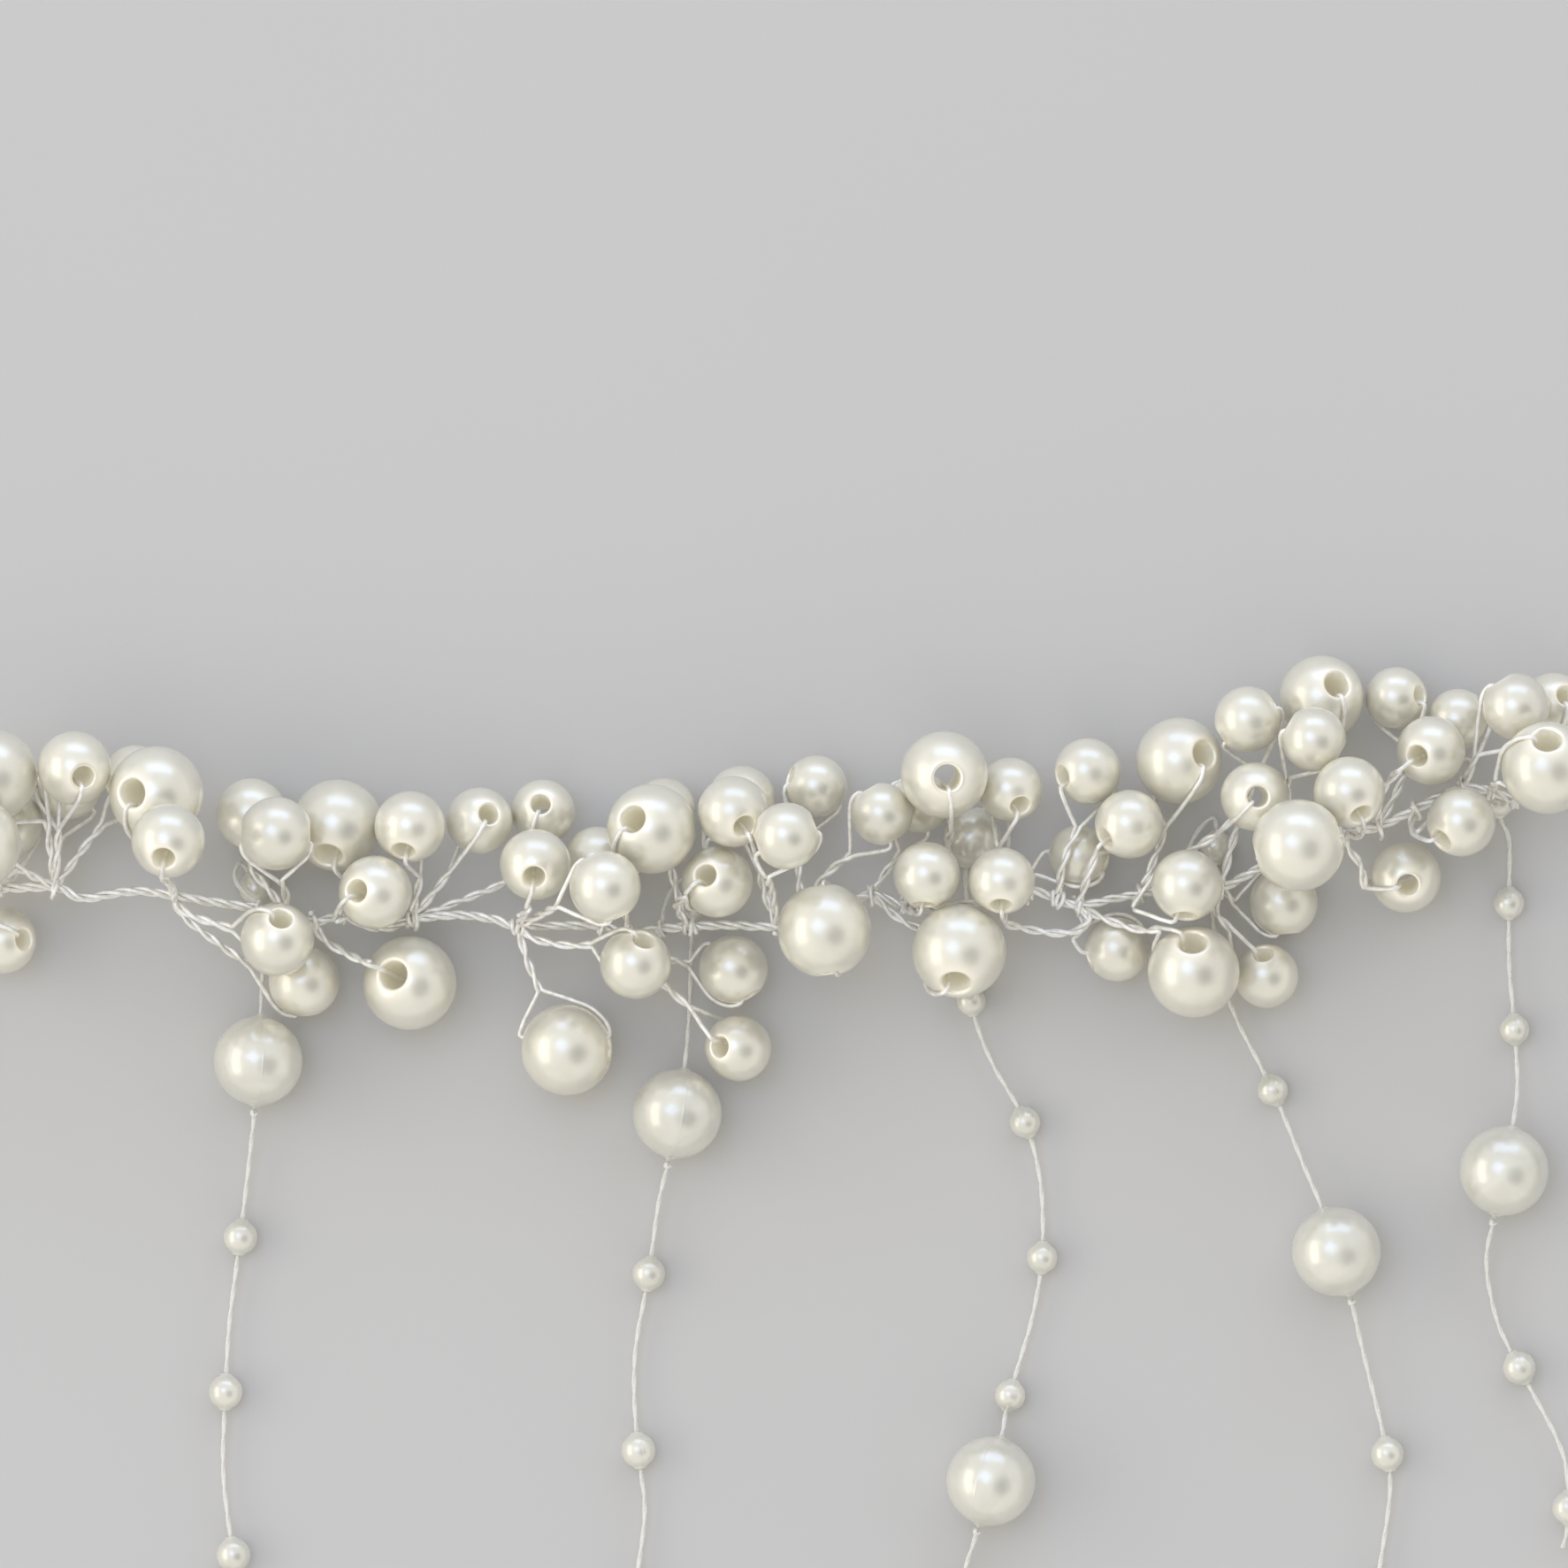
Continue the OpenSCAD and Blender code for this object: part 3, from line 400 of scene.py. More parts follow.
def bead_tree():
    """A bead on each point, turned and sized by the point's own attributes."""
    tree, given, out = new_tree("Beads on points", [
        ("Bead", "Object"), ("Finish", "Material"), ("Bore finish", "Material")])
    bead = add_node(tree, "GeometryNodeObjectInfo", None, {"Object": given["Bead"]})
    facing, size, inside = (
        add_node(tree, "GeometryNodeInputNamedAttribute", {"data_type": kind}, {"Name": name})
        for kind, name in (("FLOAT_VECTOR", "facing"), ("FLOAT", "size"), ("BOOLEAN", "in_bore")))
    turn = add_node(tree, "FunctionNodeEulerToRotation", None, {0: facing.outputs[0]})
    placed = add_node(
        tree, "GeometryNodeInstanceOnPoints", None,
        {0: given["Geometry"], "Instance": bead.outputs["Geometry"], "Rotation": turn.outputs[0],
         "Scale": size.outputs[0]})
    real = add_node(tree, "GeometryNodeRealizeInstances", None, {0: placed.outputs[0]})
    outside = add_node(
        tree, "GeometryNodeSetMaterial", None, {0: real.outputs[0], "Material": given["Finish"]})
    both = add_node(
        tree, "GeometryNodeSetMaterial", None,
        {0: outside.outputs[0], "Selection": inside.outputs[0], "Material": given["Bore finish"]})
    tree.links.new(both.outputs[0], out.inputs[0])
    return tree


def tree_named(name, make):
    """The geometry tree of that name, made the first time that it is asked for."""
    return bpy.data.node_groups.get(name) or make()


def grow(name, mesh, tree, values):
    """Runs a geometry tree on a starting mesh and keeps what comes out as a plain mesh at the origin."""
    piece = bpy.data.objects.new(name, mesh)
    bpy.context.scene.collection.objects.link(piece)
    build = piece.modifiers.new("Build", "NODES")
    build.node_group = tree
    for item in tree.interface.items_tree:
        if item.item_type == "SOCKET" and item.in_out == "INPUT" and item.name in values:
            build[item.identifier] = values[item.name]
    graph = bpy.context.evaluated_depsgraph_get()
    result = bpy.data.meshes.new_from_object(
        piece.evaluated_get(graph), preserve_all_data_layers=True, depsgraph=graph)
    piece.modifiers.clear()
    piece.data = result
    result.name = name
    bpy.data.meshes.remove(mesh)
    if not result.polygons or not result.materials:
        raise RuntimeError(f"{name} came out of its tree without faces or material")
    return piece


def stand_for(piece, slot, *nodes):
    """The piece rides on the model's body and stands for these nodes of it."""
    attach(piece, "root")
    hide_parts(*nodes)


# Finishes

def feed(tree, shader, **feeds):
    """Gives the shader's inputs of these names, with _ for a space, their values or links."""
    for label, value in feeds.items():
        fill(tree, shader.inputs[label.replace("_", " ")], value)


def new_finish(name, **settings):
    """A material with one Principled shader that has these socket values."""
    material = bpy.data.materials.new(name)
    material.use_nodes = True
    shader = material.node_tree.nodes["Principled BSDF"]
    feed(material.node_tree, shader, **settings)
    return material, material.node_tree, shader


def place_in_mm(tree):
    """The object's own coordinates in millimetres, so that a pattern's scale is per millimetre."""
    spot = add_node(tree, "ShaderNodeTexCoord").outputs["Object"]
    scaled = add_node(tree, "ShaderNodeVectorMath", {"operation": "SCALE"}, {0: spot, "Scale": 1 / MM})
    return scaled.outputs[0]


def mottled(tree, pattern, low, high, first, second, reach=1):
    """One colour where a pattern is low, going over to the second where it is high, or only by the
    share reach."""
    share = add_node(tree, "ShaderNodeMapRange", None, {0: pattern, 1: low, 2: high, 4: reach})
    mix = add_node(tree, "ShaderNodeMix", {"data_type": "RGBA"}, {0: share.outputs[0], 6: first, 7: second})
    return mix.outputs[2]


def toned(colour, by):
    """The colour made darker, or lighter where by is over 1."""
    return tuple(by * c for c in colour)


def ivory_lacquer(colours):
    """Nacre lacquer in several dips: a satin glow under a clear coat. Round a bore's lip its colour
    is lighter, a painted highlight. Its clouds are about 3 mm across, its duller places 1 mm, and
    the ripple that bends its highlights 1.5 mm."""
    material, tree, shader = new_finish(
        "Ivory pearl lacquer", Metallic=0.4, Roughness=0.3, IOR=1.52, Coat_Weight=0.7,
        Coat_Roughness=0.16)
    spot = place_in_mm(tree)
    clouds = add_node(tree, "ShaderNodeTexNoise", None, {"Vector": spot, "Scale": 0.35})
    body = mottled(tree, clouds.outputs["Fac"], 0.35, 0.65, colours.lacquer, colours.lacquer_shade)
    # Lighter colour at a bore's lip: a painted highlight.
    lip = add_node(tree, "ShaderNodeAttribute", {"attribute_name": "lip"})
    skin = add_node(
        tree, "ShaderNodeMix", {"data_type": "RGBA"}, {0: lip.outputs["Fac"], 6: body, 7: colours.lip})
    haze = add_node(tree, "ShaderNodeTexNoise", None, {"Vector": spot, "Scale": 0.9})
    satin = add_node(
        tree, "ShaderNodeMapRange", None, {0: haze.outputs["Fac"], 1: 0.3, 2: 0.7, 3: 0.28, 4: 0.33})
    ripple = add_node(tree, "ShaderNodeTexNoise", None, {"Vector": spot, "Scale": 0.7, "Detail": 0.0})
    relief = add_node(
        tree, "ShaderNodeBump", None,
        {"Strength": 0.1, "Distance": 0.05 * MM, "Height": ripple.outputs["Fac"]})
    feed(
        tree, shader, Base_Color=skin.outputs[2], Roughness=satin.outputs[0], Normal=relief.outputs[0])
    return material


def bare_core(colours):
    """Bare moulded plastic inside a bore, without lacquer: matt, with bumps about 0.7 mm across. It
    scatters light far, and a faint glow stands in for the daylight that the bead's wall lets in."""
    material, tree, shader = new_finish(
        "Bare bead plastic", Roughness=0.55, IOR=1.46, Subsurface_Weight=0.8, Subsurface_Scale=0.004,
        Subsurface_Radius=(1, 0.95, 0.88), Emission_Color=colours.core, Emission_Strength=0.155)
    spot = place_in_mm(tree)
    specks = add_node(tree, "ShaderNodeTexNoise", None, {"Vector": spot, "Scale": 1.4})
    uneven = add_node(tree, "ShaderNodeTexNoise", None, {"Vector": spot, "Scale": 1.5, "Detail": 1.0})
    relief = add_node(
        tree, "ShaderNodeBump", None,
        {"Strength": 0.1, "Distance": 0.03 * MM, "Height": uneven.outputs["Fac"]})
    tone = mottled(
        tree, specks.outputs["Fac"], 0.3, 0.7, colours.core, toned(colours.core, 0.95), reach=0.4)
    feed(tree, shader, Base_Color=tone, Normal=relief.outputs[0])
    return material


def silvered_wire(colours):
    """Silvered copper wire, drawn and twisted by hand: bright, with worn places about 1 mm long,
    satin ones of 0.3 mm and draw marks of 0.15 mm, drawn coarser than real ones so that they show."""
    material, tree, shader = new_finish("Silvered wire", Metallic=0.42, Roughness=0.35, Coat_Weight=0.1)
    spot = place_in_mm(tree)
    wear = add_node(tree, "ShaderNodeTexNoise", None, {"Vector": spot, "Scale": 1.1, "Detail": 3.0})
    rubs = add_node(tree, "ShaderNodeTexNoise", None, {"Vector": spot, "Scale": 3.0})
    satin = add_node(
        tree, "ShaderNodeMapRange", None, {0: rubs.outputs["Fac"], 1: 0.3, 2: 0.7, 3: 0.28, 4: 0.46})
    marks = add_node(tree, "ShaderNodeTexNoise", None, {"Vector": spot, "Scale": 7.0, "Detail": 3.0})
    relief = add_node(
        tree, "ShaderNodeBump", None,
        {"Strength": 0.2, "Distance": 0.04 * MM, "Height": marks.outputs["Fac"]})
    feed(
        tree, shader, Roughness=satin.outputs[0], Normal=relief.outputs[0],
        Base_Color=mottled(tree, wear.outputs["Fac"], 0.42, 0.68, colours.silver, colours.tarnish))
    return material


def milky_plastic(colours):
    """Milky moulded plastic under a glossy dip, with wisps about 3 mm long, bumps about 1 mm across
    and a fine seam that runs round the bead from nib to nib."""
    seam_share, skin_weight = 0.006, 2.0
    material, tree, shader = new_finish(
        "Milky bead plastic", Metallic=0.3, Roughness=0.28, IOR=1.52, Coat_Weight=1.0, Coat_Roughness=0.08,
        Subsurface_Weight=0.15, Subsurface_Scale=0.001, Subsurface_Radius=(1, 0.95, 0.85))
    spot = place_in_mm(tree)
    wisps = add_node(tree, "ShaderNodeTexNoise", None, {"Vector": spot, "Scale": 0.3, "Distortion": 0.8})
    laid = add_node(tree, "ShaderNodeUVMap", {"uv_map": "around"})
    around = add_node(tree, "ShaderNodeSeparateXYZ", None, {0: laid.outputs[0]})
    folded = add_node(tree, "ShaderNodeMath", {"operation": "PINGPONG"}, {0: around.outputs[0], 1: 0.25})
    seam = add_node(
        tree, "ShaderNodeMapRange", None, {0: folded.outputs[0], 1: 0.0, 2: seam_share, 3: 1, 4: 0})
    uneven = add_node(tree, "ShaderNodeTexNoise", None, {"Vector": spot, "Scale": 0.8, "Detail": 1.0})
    height = add_node(
        tree, "ShaderNodeMath", {"operation": "MULTIPLY_ADD"},
        {0: uneven.outputs["Fac"], 1: skin_weight, 2: seam.outputs[0]})
    relief = add_node(
        tree, "ShaderNodeBump", None,
        {"Strength": 0.4, "Distance": 0.04 * MM, "Height": height.outputs[0]})
    tone = mottled(
        tree, wisps.outputs["Fac"], 0.35, 0.65, toned(colours.milk, 0.93), toned(colours.milk, 1.04))
    feed(tree, shader, Base_Color=tone, Normal=relief.outputs[0])
    return material


def cotton_thread(colours):
    """Waxed cotton thread, matt, with loose fibres across its plies, drawn 0.1 mm wide so that they
    show."""
    material, tree, shader = new_finish(
        "Cotton thread", Roughness=0.85, IOR=1.46, Sheen_Weight=0.3, Sheen_Roughness=0.5)
    fibres = add_node(
        tree, "ShaderNodeTexNoise", None, {"Vector": place_in_mm(tree), "Scale": 9.0, "Detail": 4.0})
    relief = add_node(
        tree, "ShaderNodeBump", None,
        {"Strength": 0.6, "Distance": 0.05 * MM, "Height": fibres.outputs["Fac"]})
    tone = mottled(
        tree, fibres.outputs["Fac"], 0.35, 0.65, colours.thread, toned(colours.thread, 0.82))
    feed(tree, shader, Base_Color=tone, Normal=relief.outputs[0])
    return material


def drawn_steel(colours):
    """Bright steel wire with a satin sheen and draw marks along the teeth, 4 mm long and drawn
    0.1 mm wide so that they show."""
    material, tree, shader = new_finish("Drawn comb steel", Metallic=1.0, Roughness=0.32)
    stretched = add_node(
        tree, "ShaderNodeMapping", None, {0: place_in_mm(tree), "Scale": (9, 0.25, 9)})
    marks = add_node(
        tree, "ShaderNodeTexNoise", None, {"Vector": stretched.outputs[0], "Scale": 1.0, "Detail": 3.0})
    satin = add_node(
        tree, "ShaderNodeMapRange", None, {0: marks.outputs["Fac"], 1: 0.3, 2: 0.7, 3: 0.28, 4: 0.38})
    relief = add_node(
        tree, "ShaderNodeBump", None,
        {"Strength": 0.15, "Distance": 0.02 * MM, "Height": marks.outputs["Fac"]})
    tone = mottled(tree, marks.outputs["Fac"], 0.35, 0.65, colours.steel, toned(colours.steel, 0.8))
    feed(tree, shader, Base_Color=tone, Roughness=satin.outputs[0], Normal=relief.outputs[0])
    return material


def floor_paint(colours):
    """Pale matt studio paint with a barely uneven tone, in clouds of 100 mm."""
    material, tree, shader = new_finish("Pale studio floor", Roughness=0.75, IOR=1.4)
    clouds = add_node(
        tree, "ShaderNodeTexNoise", None, {"Vector": place_in_mm(tree), "Scale": 0.01, "Detail": 3.0})
    tone = mottled(tree, clouds.outputs["Fac"], 0.3, 0.7, colours.floor, toned(colours.floor, 0.985))
    feed(tree, shader, Base_Color=tone)
    return material


FINISHES = {
    "Ivory pearl lacquer": ivory_lacquer,
    "Bare bead plastic": bare_core,
    "Silvered wire": silvered_wire,
    "Milky bead plastic": milky_plastic,
    "Cotton thread": cotton_thread,
    "Drawn comb steel": drawn_steel,
    "Pale studio floor": floor_paint,
}


def finish(name):
    """The finish of that name, made the first time that it is asked for."""
    return bpy.data.materials.get(name) or FINISHES[name](bpy.context.scene.hair_vine_colours)


# Routes, in millimetres

def across(v, along):
    """The part of a direction that is square to another one."""
    return (v - v.dot(along) * along).normalized()


def any_side(along):
    """A direction that is square to another one."""
    return across(Vector((0, 0, 1)) if abs(along.z) < 0.9 else Vector((1, 0, 0)), along)


def spoke(a, side, up):
    """The direction at an angle from side towards up."""
    return math.cos(a) * side + math.sin(a) * up


def heading(route, i):
    """The way that a route runs at its point i."""
    return (route[min(i + 1, len(route) - 1)] - route[max(i - 1, 0)]).normalized()


def cut_corners(route, rounds):
    """The route with its corners cut off again and again, its ends kept."""
    for _ in range(rounds):
        cut = [route[0]]
        for a, b in zip(route, route[1:]):
            cut += [a.lerp(b, 0.25), a.lerp(b, 0.75)]
        route = cut + [route[-1]]
    return route


def curve_through(route, steps):
    """A smooth curve through every point of the route."""
    curve = []
    for i in range(len(route) - 1):
        p0, p1 = route[max(i - 1, 0)], route[i]
        p2, p3 = route[i + 1], route[min(i + 2, len(route) - 1)]
        for k in range(steps):
            t = k / steps
            curve.append(0.5 * (
                2 * p1 + (p2 - p0) * t + (2 * p0 - 5 * p1 + 4 * p2 - p3) * t ** 2
                + (3 * p1 - p0 - 3 * p2 + p3) * t ** 3))
    return curve + [route[-1]]


def evenly(route, step):
    """Points at even distances along a route."""
    lengths = [0.0]
    for a, b in zip(route, route[1:]):
        lengths.append(lengths[-1] + (b - a).length)
    count = max(2, round(lengths[-1] / step))
    points, i = [], 0
    for k in range(count + 1):
        s = lengths[-1] * k / count
        while i < len(route) - 2 and lengths[i + 1] < s:
            i += 1
        span = max(1e-9, lengths[i + 1] - lengths[i])
        points.append(route[i].lerp(route[i + 1], (s - lengths[i]) / span))
    return points


def carried_sides(route):
    """A side direction at each point of a route, carried along without twisting."""
    sides = [any_side(heading(route, 0))]
    for i in range(1, len(route)):
        sides.append(across(sides[-1], heading(route, i)))
    return sides


def lead(centre, radius, bore_radius, faces, fork, wire):
    """From deep in the bore over its lip and round the pearl until the way to the fork is free."""
    play, slack, out_of_bore, bend_out, bend_aside = 0.08, 0.03, 0.1, 0.5, 0.45
    arc = math.radians(14)
    gap = fork - centre
    side = across(gap.normalized(), faces)
    lip = math.asin(bore_radius / radius)
    rim = radius * math.cos(lip)
    inset = bore_radius - wire - slack
    reach = radius + play + wire
    start = lip + arc
    leave = gap.normalized().angle(faces) - math.acos(min(1, reach / gap.length))
    points = [centre + r * faces + inset * side for r in (rim / 2, rim + out_of_bore)]
    if leave > start:
        steps = max(1, math.ceil((leave - start) / arc))
        for k in range(steps + 1):
            points.append(centre + reach * spoke(start + (leave - start) * k / steps, faces, side))
    else:
        points.append(centre + (rim + bend_out) * faces + (inset + bend_aside) * side)
    return points


def pearl_wire(row, sizes):
    """One wire: out along the stem, through the pearl and back, twisted with itself on the stem."""
    place, size, (turn, lift), root, route = row
    wire = sizes.wire_radius / MM
    lay = sizes.stem_lay / MM
    centre = Vector(place)
    turn, lift = math.radians(turn), math.radians(lift)
    faces = Vector((math.cos(turn) * math.cos(lift), math.sin(turn) * math.cos(lift), math.sin(lift)))
    stem = evenly(cut_corners([Vector(p) for p in (SPINE[root], *route)], rounds=2), STEM_STEP)
    last = len(stem) - 1
    fork = stem[last]
    part = across(across(faces, (fork - centre).normalized()), heading(stem, last))
    sides = carried_sides(stem)
    end_turn = math.atan2(part.dot(heading(stem, last).cross(sides[last])), part.dot(sides[last]))
    total = sum((b - a).length for a, b in zip(stem, stem[1:]))
    strands = []
    for phase in (0, math.pi):
        strand = []
        for i, point in enumerate(stem):
            a = end_turn + phase - math.tau * (total * (1 - i / last)) / lay
            strand.append(point + wire * spoke(a, sides[i], heading(stem, i).cross(sides[i])))
        strands.append(strand)
    there, back = (
        lead(centre, size / 2, sizes.bore * size / 2, way, fork, wire) for way in (faces, -faces))
    loop = cut_corners([strands[0][-1]] + there[::-1] + back + [strands[1][-1]], rounds=2)
    return strands[0][:-1] + loop + strands[1][-2::-1]


def coil_round(at, turns, pitch, radius, phase, over=0):
    """A winding round the main wire at one of its points. Its last turns, over, go back on top of
    the others by hand, and its cut end stands off a little. Waves that don't come round again from
    turn to turn make it uneven."""
    sway, waver, second_layer, way_back = 0.06, 0.1, 0.34, 1.3
    stand_off, cut_end = 0.1, 0.25
    middle = Vector(SPINE[at])
    along = (Vector(SPINE[at + 1]) - Vector(SPINE[at - 1])).normalized()
    side = any_side(along)
    up = along.cross(side)
    points = []
    for k in range(round((turns + over) * COIL_STEPS) + 1):
        turn = k / COIL_STEPS
        a = phase + math.tau * turn
        back = max(0, turn - turns)
        reach = radius * (1 + sway * math.sin(2.3 * a + phase)) + second_layer * min(1, 2 * back)
        shift = pitch * (min(turn, turns) - turns / 2 - way_back * back) + waver * math.sin(1.7 * a)
        points.append(middle + reach * spoke(a, side, up) + shift * along)
    out = (points[-1] - middle).normalized()
    onward = (points[-1] - points[-2]).normalized()
    return points + [points[-1] + stand_off * out + cut_end * onward]


def knot_at(start, onward):
    """A tight overhand turn of thread below a drop, that keeps the drop from sliding down."""
    radius, turns, clear, rise, waver = 0.2, 1.5, 0.25, 0.2, 0.06
    along = onward.normalized()
    side = any_side(along)
    up = along.cross(side)
    points = []
    for k in range(round(turns * COIL_STEPS) + 1):
        a = math.tau * k / COIL_STEPS
        shift = clear + rise * k / COIL_STEPS + waver * math.sin(2 * a)
        points.append(start + radius * spoke(a, side, up) + shift * along)
    return points


def level_step(strand, i):
    """From a strand's row before row i to the row after it, level: the way that its bead faces."""
    step = Vector(strand[i + 1][0]) - Vector(strand[i - 1][0])
    step.z = 0
    return step


def route_mesh(name, routes):
    """A mesh of edges, in metres in the frame, that follows routes in millimetres."""
    verts, edges = [], []
    for route in routes:
        first = len(verts)
        verts += [(p - MIDDLE) * MM for p in route]
        edges += [(first + i, first + i + 1) for i in range(len(route) - 1)]
    mesh = bpy.data.meshes.new(name)
    mesh.from_pydata(verts, edges, [])
    return mesh


def point_mesh(name, rows):
    """A mesh of points, each with the Euler turn and the scale of the bead that goes there."""
    mesh = bpy.data.meshes.new(name)
    mesh.from_pydata([(Vector(place) - MIDDLE) * MM for place, _, _ in rows], [], [])
    mesh.attributes.new("facing", "FLOAT_VECTOR", "POINT")
    mesh.attributes.new("size", "FLOAT", "POINT")
    for i, (_, scale, turn) in enumerate(rows):
        mesh.attributes["facing"].data[i].vector = turn
        mesh.attributes["size"].data[i].value = scale
    return mesh


def spun_bead(name, profile, lips, bores, segments, finishes):
    """A closed ring of a profile turned round Z. lips are its points' shares of the lip's painted
    highlight, and bores says which of its faces, one for each point to the next, lie inside the
    bore. finishes are the materials outside and inside."""
    shape = bmesh.new()
    # Each point's share of the lip's painted highlight
    lip = shape.verts.layers.float.new("lip")
    bore = shape.faces.layers.int.new("bore")
    uv = shape.loops.layers.uv.new("around")
    rings = []
    for s in range(segments):
        a = math.tau * s / segments
        ring = []
        for (r, z), share in zip(profile, lips):
            v = shape.verts.new((r * math.cos(a), r * math.sin(a), z))
            v[lip] = share
            ring.append(v)
        rings.append(ring)
    count = len(profile)
    for s in range(segments):
        here, there = rings[s], rings[(s + 1) % segments]
        for k in range(count):
            n = (k + 1) % count
            face = shape.faces.new((here[k], here[n], there[n], there[k]))
            face[bore] = int(bores[k])
            face.smooth = True
            for loop, u, v in zip(face.loops, (s, s, s + 1, s + 1), (k, k + 1, k + 1, k)):
                loop[uv].uv = (u / segments, v / count)
    bmesh.ops.recalc_face_normals(shape, faces=shape.faces)
    mesh = bpy.data.meshes.new(name)
    shape.to_mesh(mesh)
    shape.free()
    inside = mesh.attributes.new("in_bore", "BOOLEAN", "FACE")
    for i, item in enumerate(mesh.attributes["bore"].data):
        inside.data[i].value = item.value == 1
    mesh.attributes.remove(mesh.attributes["bore"])
    for material in finishes:
        mesh.materials.append(material)
    return bpy.data.objects.new(name, mesh)


def drilled_pearl(sizes, finishes):
    """A pearl of radius 1 with its bore along Z and a rounded lip at each end. The lip's painted
    highlight, a lighter colour, thins out over the angle fade."""
    skin_steps, lip_steps, bore_steps, segments, fade = 26, 6, 6, 48, 0.22
    bore, lip = sizes.bore, sizes.lip
    centre_r = bore + lip
    centre_z = math.sqrt((1 - lip) ** 2 - centre_r ** 2)
    start = math.atan2(centre_r, centre_z)
    skin = [start + (math.pi - 2 * start) * k / skin_steps for k in range(skin_steps + 1)]
    profile = [(math.sin(a), math.cos(a)) for a in skin]
    shares = [max(0, 1 - (min(a, math.pi - a) - start) / fade) for a in skin]
    low_lip = []
    for k in range(1, lip_steps + 1):
        a = -(math.pi / 2 - start) - (math.pi / 2 + start) * k / lip_steps
        low_lip.append((centre_r + lip * math.cos(a), -centre_z + lip * math.sin(a)))
    inner = [(bore, -centre_z + 2 * centre_z * k / bore_steps) for k in range(1, bore_steps)]
    profile += low_lip + inner + [(r, -z) for r, z in reversed(low_lip)]
    shares += [1] * lip_steps + [0] * len(inner) + [1] * lip_steps
    bores = [False] * (skin_steps + lip_steps) + [True] * bore_steps + [False] * lip_steps
    return spun_bead("Drilled pearl", profile, shares, bores, segments, finishes)


def nibbed_bead(name, size, sizes, finishes):
    """A moulded bead of that diameter in millimetres, with a nib at each end and a thread's bore.
    A hollow fillet runs from the nib's tip to its foot, which is wider on a bigger bead."""
    bore, edge, chamfer, hollow, foot_share, widest_foot = 0.3, 0.03, 0.08, 1.3, 0.29, 0.95
    fillet_steps, skin_steps, segments = 5, 22, 40
    radius = size / 2
    nib = sizes.nib_radius / MM
    end = radius + sizes.nib_length / MM
    foot = min(foot_share * size, widest_foot)
    start = math.asin(foot / radius)
    low = radius * math.cos(start)
    top = [(bore, end - chamfer), (bore + edge, end), (nib - edge, end), (nib, end - edge)]
    for k in range(1, fillet_steps):
        t = k / fillet_steps
        top.append((nib + (foot - nib) * t ** hollow, end - edge + (low - end + edge) * t))
    skin = [start + (math.pi - 2 * start) * k / skin_steps for k in range(skin_steps + 1)]
    ball = [(radius * math.sin(a), radius * math.cos(a)) for a in skin]
    inner = [(bore, -end * 0.5), (bore, end * 0.5)]
    profile = [(r * MM, z * MM) for r, z in top + ball + [(r, -z) for r, z in reversed(top)] + inner]
    return spun_bead(name, profile, [0] * len(profile), [False] * len(profile), segments, finishes)


def pearl_turn(row):
    """The Euler turn that lays a bead's Z along its bore, with a spin of its own round that."""
    (x, _, _), _, (turn, lift), *_ = row
    spin = Matrix.Rotation(x * 1.7, 3, "Z")
    lay = Euler((0, math.radians(90 - lift), math.radians(turn))).to_matrix()
    return (lay @ spin).to_euler()


# Operators

class HAIRVINE_OT_main_wire(bpy.types.Operator):
    """Twists the main wire along the vine and winds its ends round both combs"""
    bl_idname = "hair_vine.main_wire"
    bl_label = "Main wire"

    def execute(self, context):
        sizes = context.scene.hair_vine_sizes
        strand = sizes.main_strand_radius
        spine = [Vector(p) for p in SPINE]
        radius = BAR_RADIUS + WIRE_PLAY + WRAP_WIRE_RADIUS
        level = radius / math.cos(math.radians(WRAP_CORNER / 2)) + WRAP_WIRE_RADIUS
        route = curve_through(spine, steps=6)
        for side, first in ((-1, spine[0]), (1, spine[-1])):
            winding = []
            for k in range(WRAPS * WRAP_STEPS + 1):
                a = math.tau * k / WRAP_STEPS
                winding.append(Vector((
                    side * (COMB_INNER + TOOTH_PITCH * k / WRAP_STEPS), first.y + radius * math.cos(a),
                    level - radius * math.sin(a))))
            route = winding[::-1] + route if side < 0 else route + winding
        values = {
            "Strands": 3, "Strand radius": strand, "Strand offset": 1.1 * strand,
            "Lay length": sizes.main_lay, "Step": 0.3 * MM, "Sides": 8, "Crinkle": 1.2 * sizes.crinkle,
            "Crinkle scale": 500.0, "Finish": finish("Silvered wire"),
        }
        wire = grow(
            "twisted_main_wire", route_mesh("Main route", [route]),
            tree_named("Wire along a route", wire_tree), values)
        stand_for(wire, "silver_wire", "main_wire")
        return {"FINISHED"}


class HAIRVINE_OT_spray_wires(bpy.types.Operator):
    """Twists the stems of each spray, leads them through the pearls and winds them on the main wire"""
    bl_idname = "hair_vine.spray_wires"
    bl_label = "Spray wires"

    def execute(self, context):
        sizes = context.scene.hair_vine_sizes
        values = {
            "Strands": 1, "Strand radius": sizes.wire_radius, "Strand offset": 0.0, "Lay length": 1.0,
            "Step": 0.28 * MM, "Sides": 8, "Crinkle": sizes.crinkle, "Crinkle scale": 900.0,
            "Finish": finish("Silvered wire"),
        }
        for i, spray in enumerate(SPRAYS, 1):
            routes = [pearl_wire(row, sizes) for row in spray]
            for root in sorted({row[3] for row in spray}):
                turns = KNOTS.get(root, OTHER_KNOTS)
                routes.append(coil_round(
                    root, turns, pitch=0.4, radius=0.62, phase=1.3 * root, over=0.7))
            wires = grow(
                f"spray_{i}_wires", route_mesh("Spray routes", routes),
                tree_named("Wire along a route", wire_tree), values)
            stand_for(wires, "silver_wire", f"spray_wire_{i}")
        return {"FINISHED"}


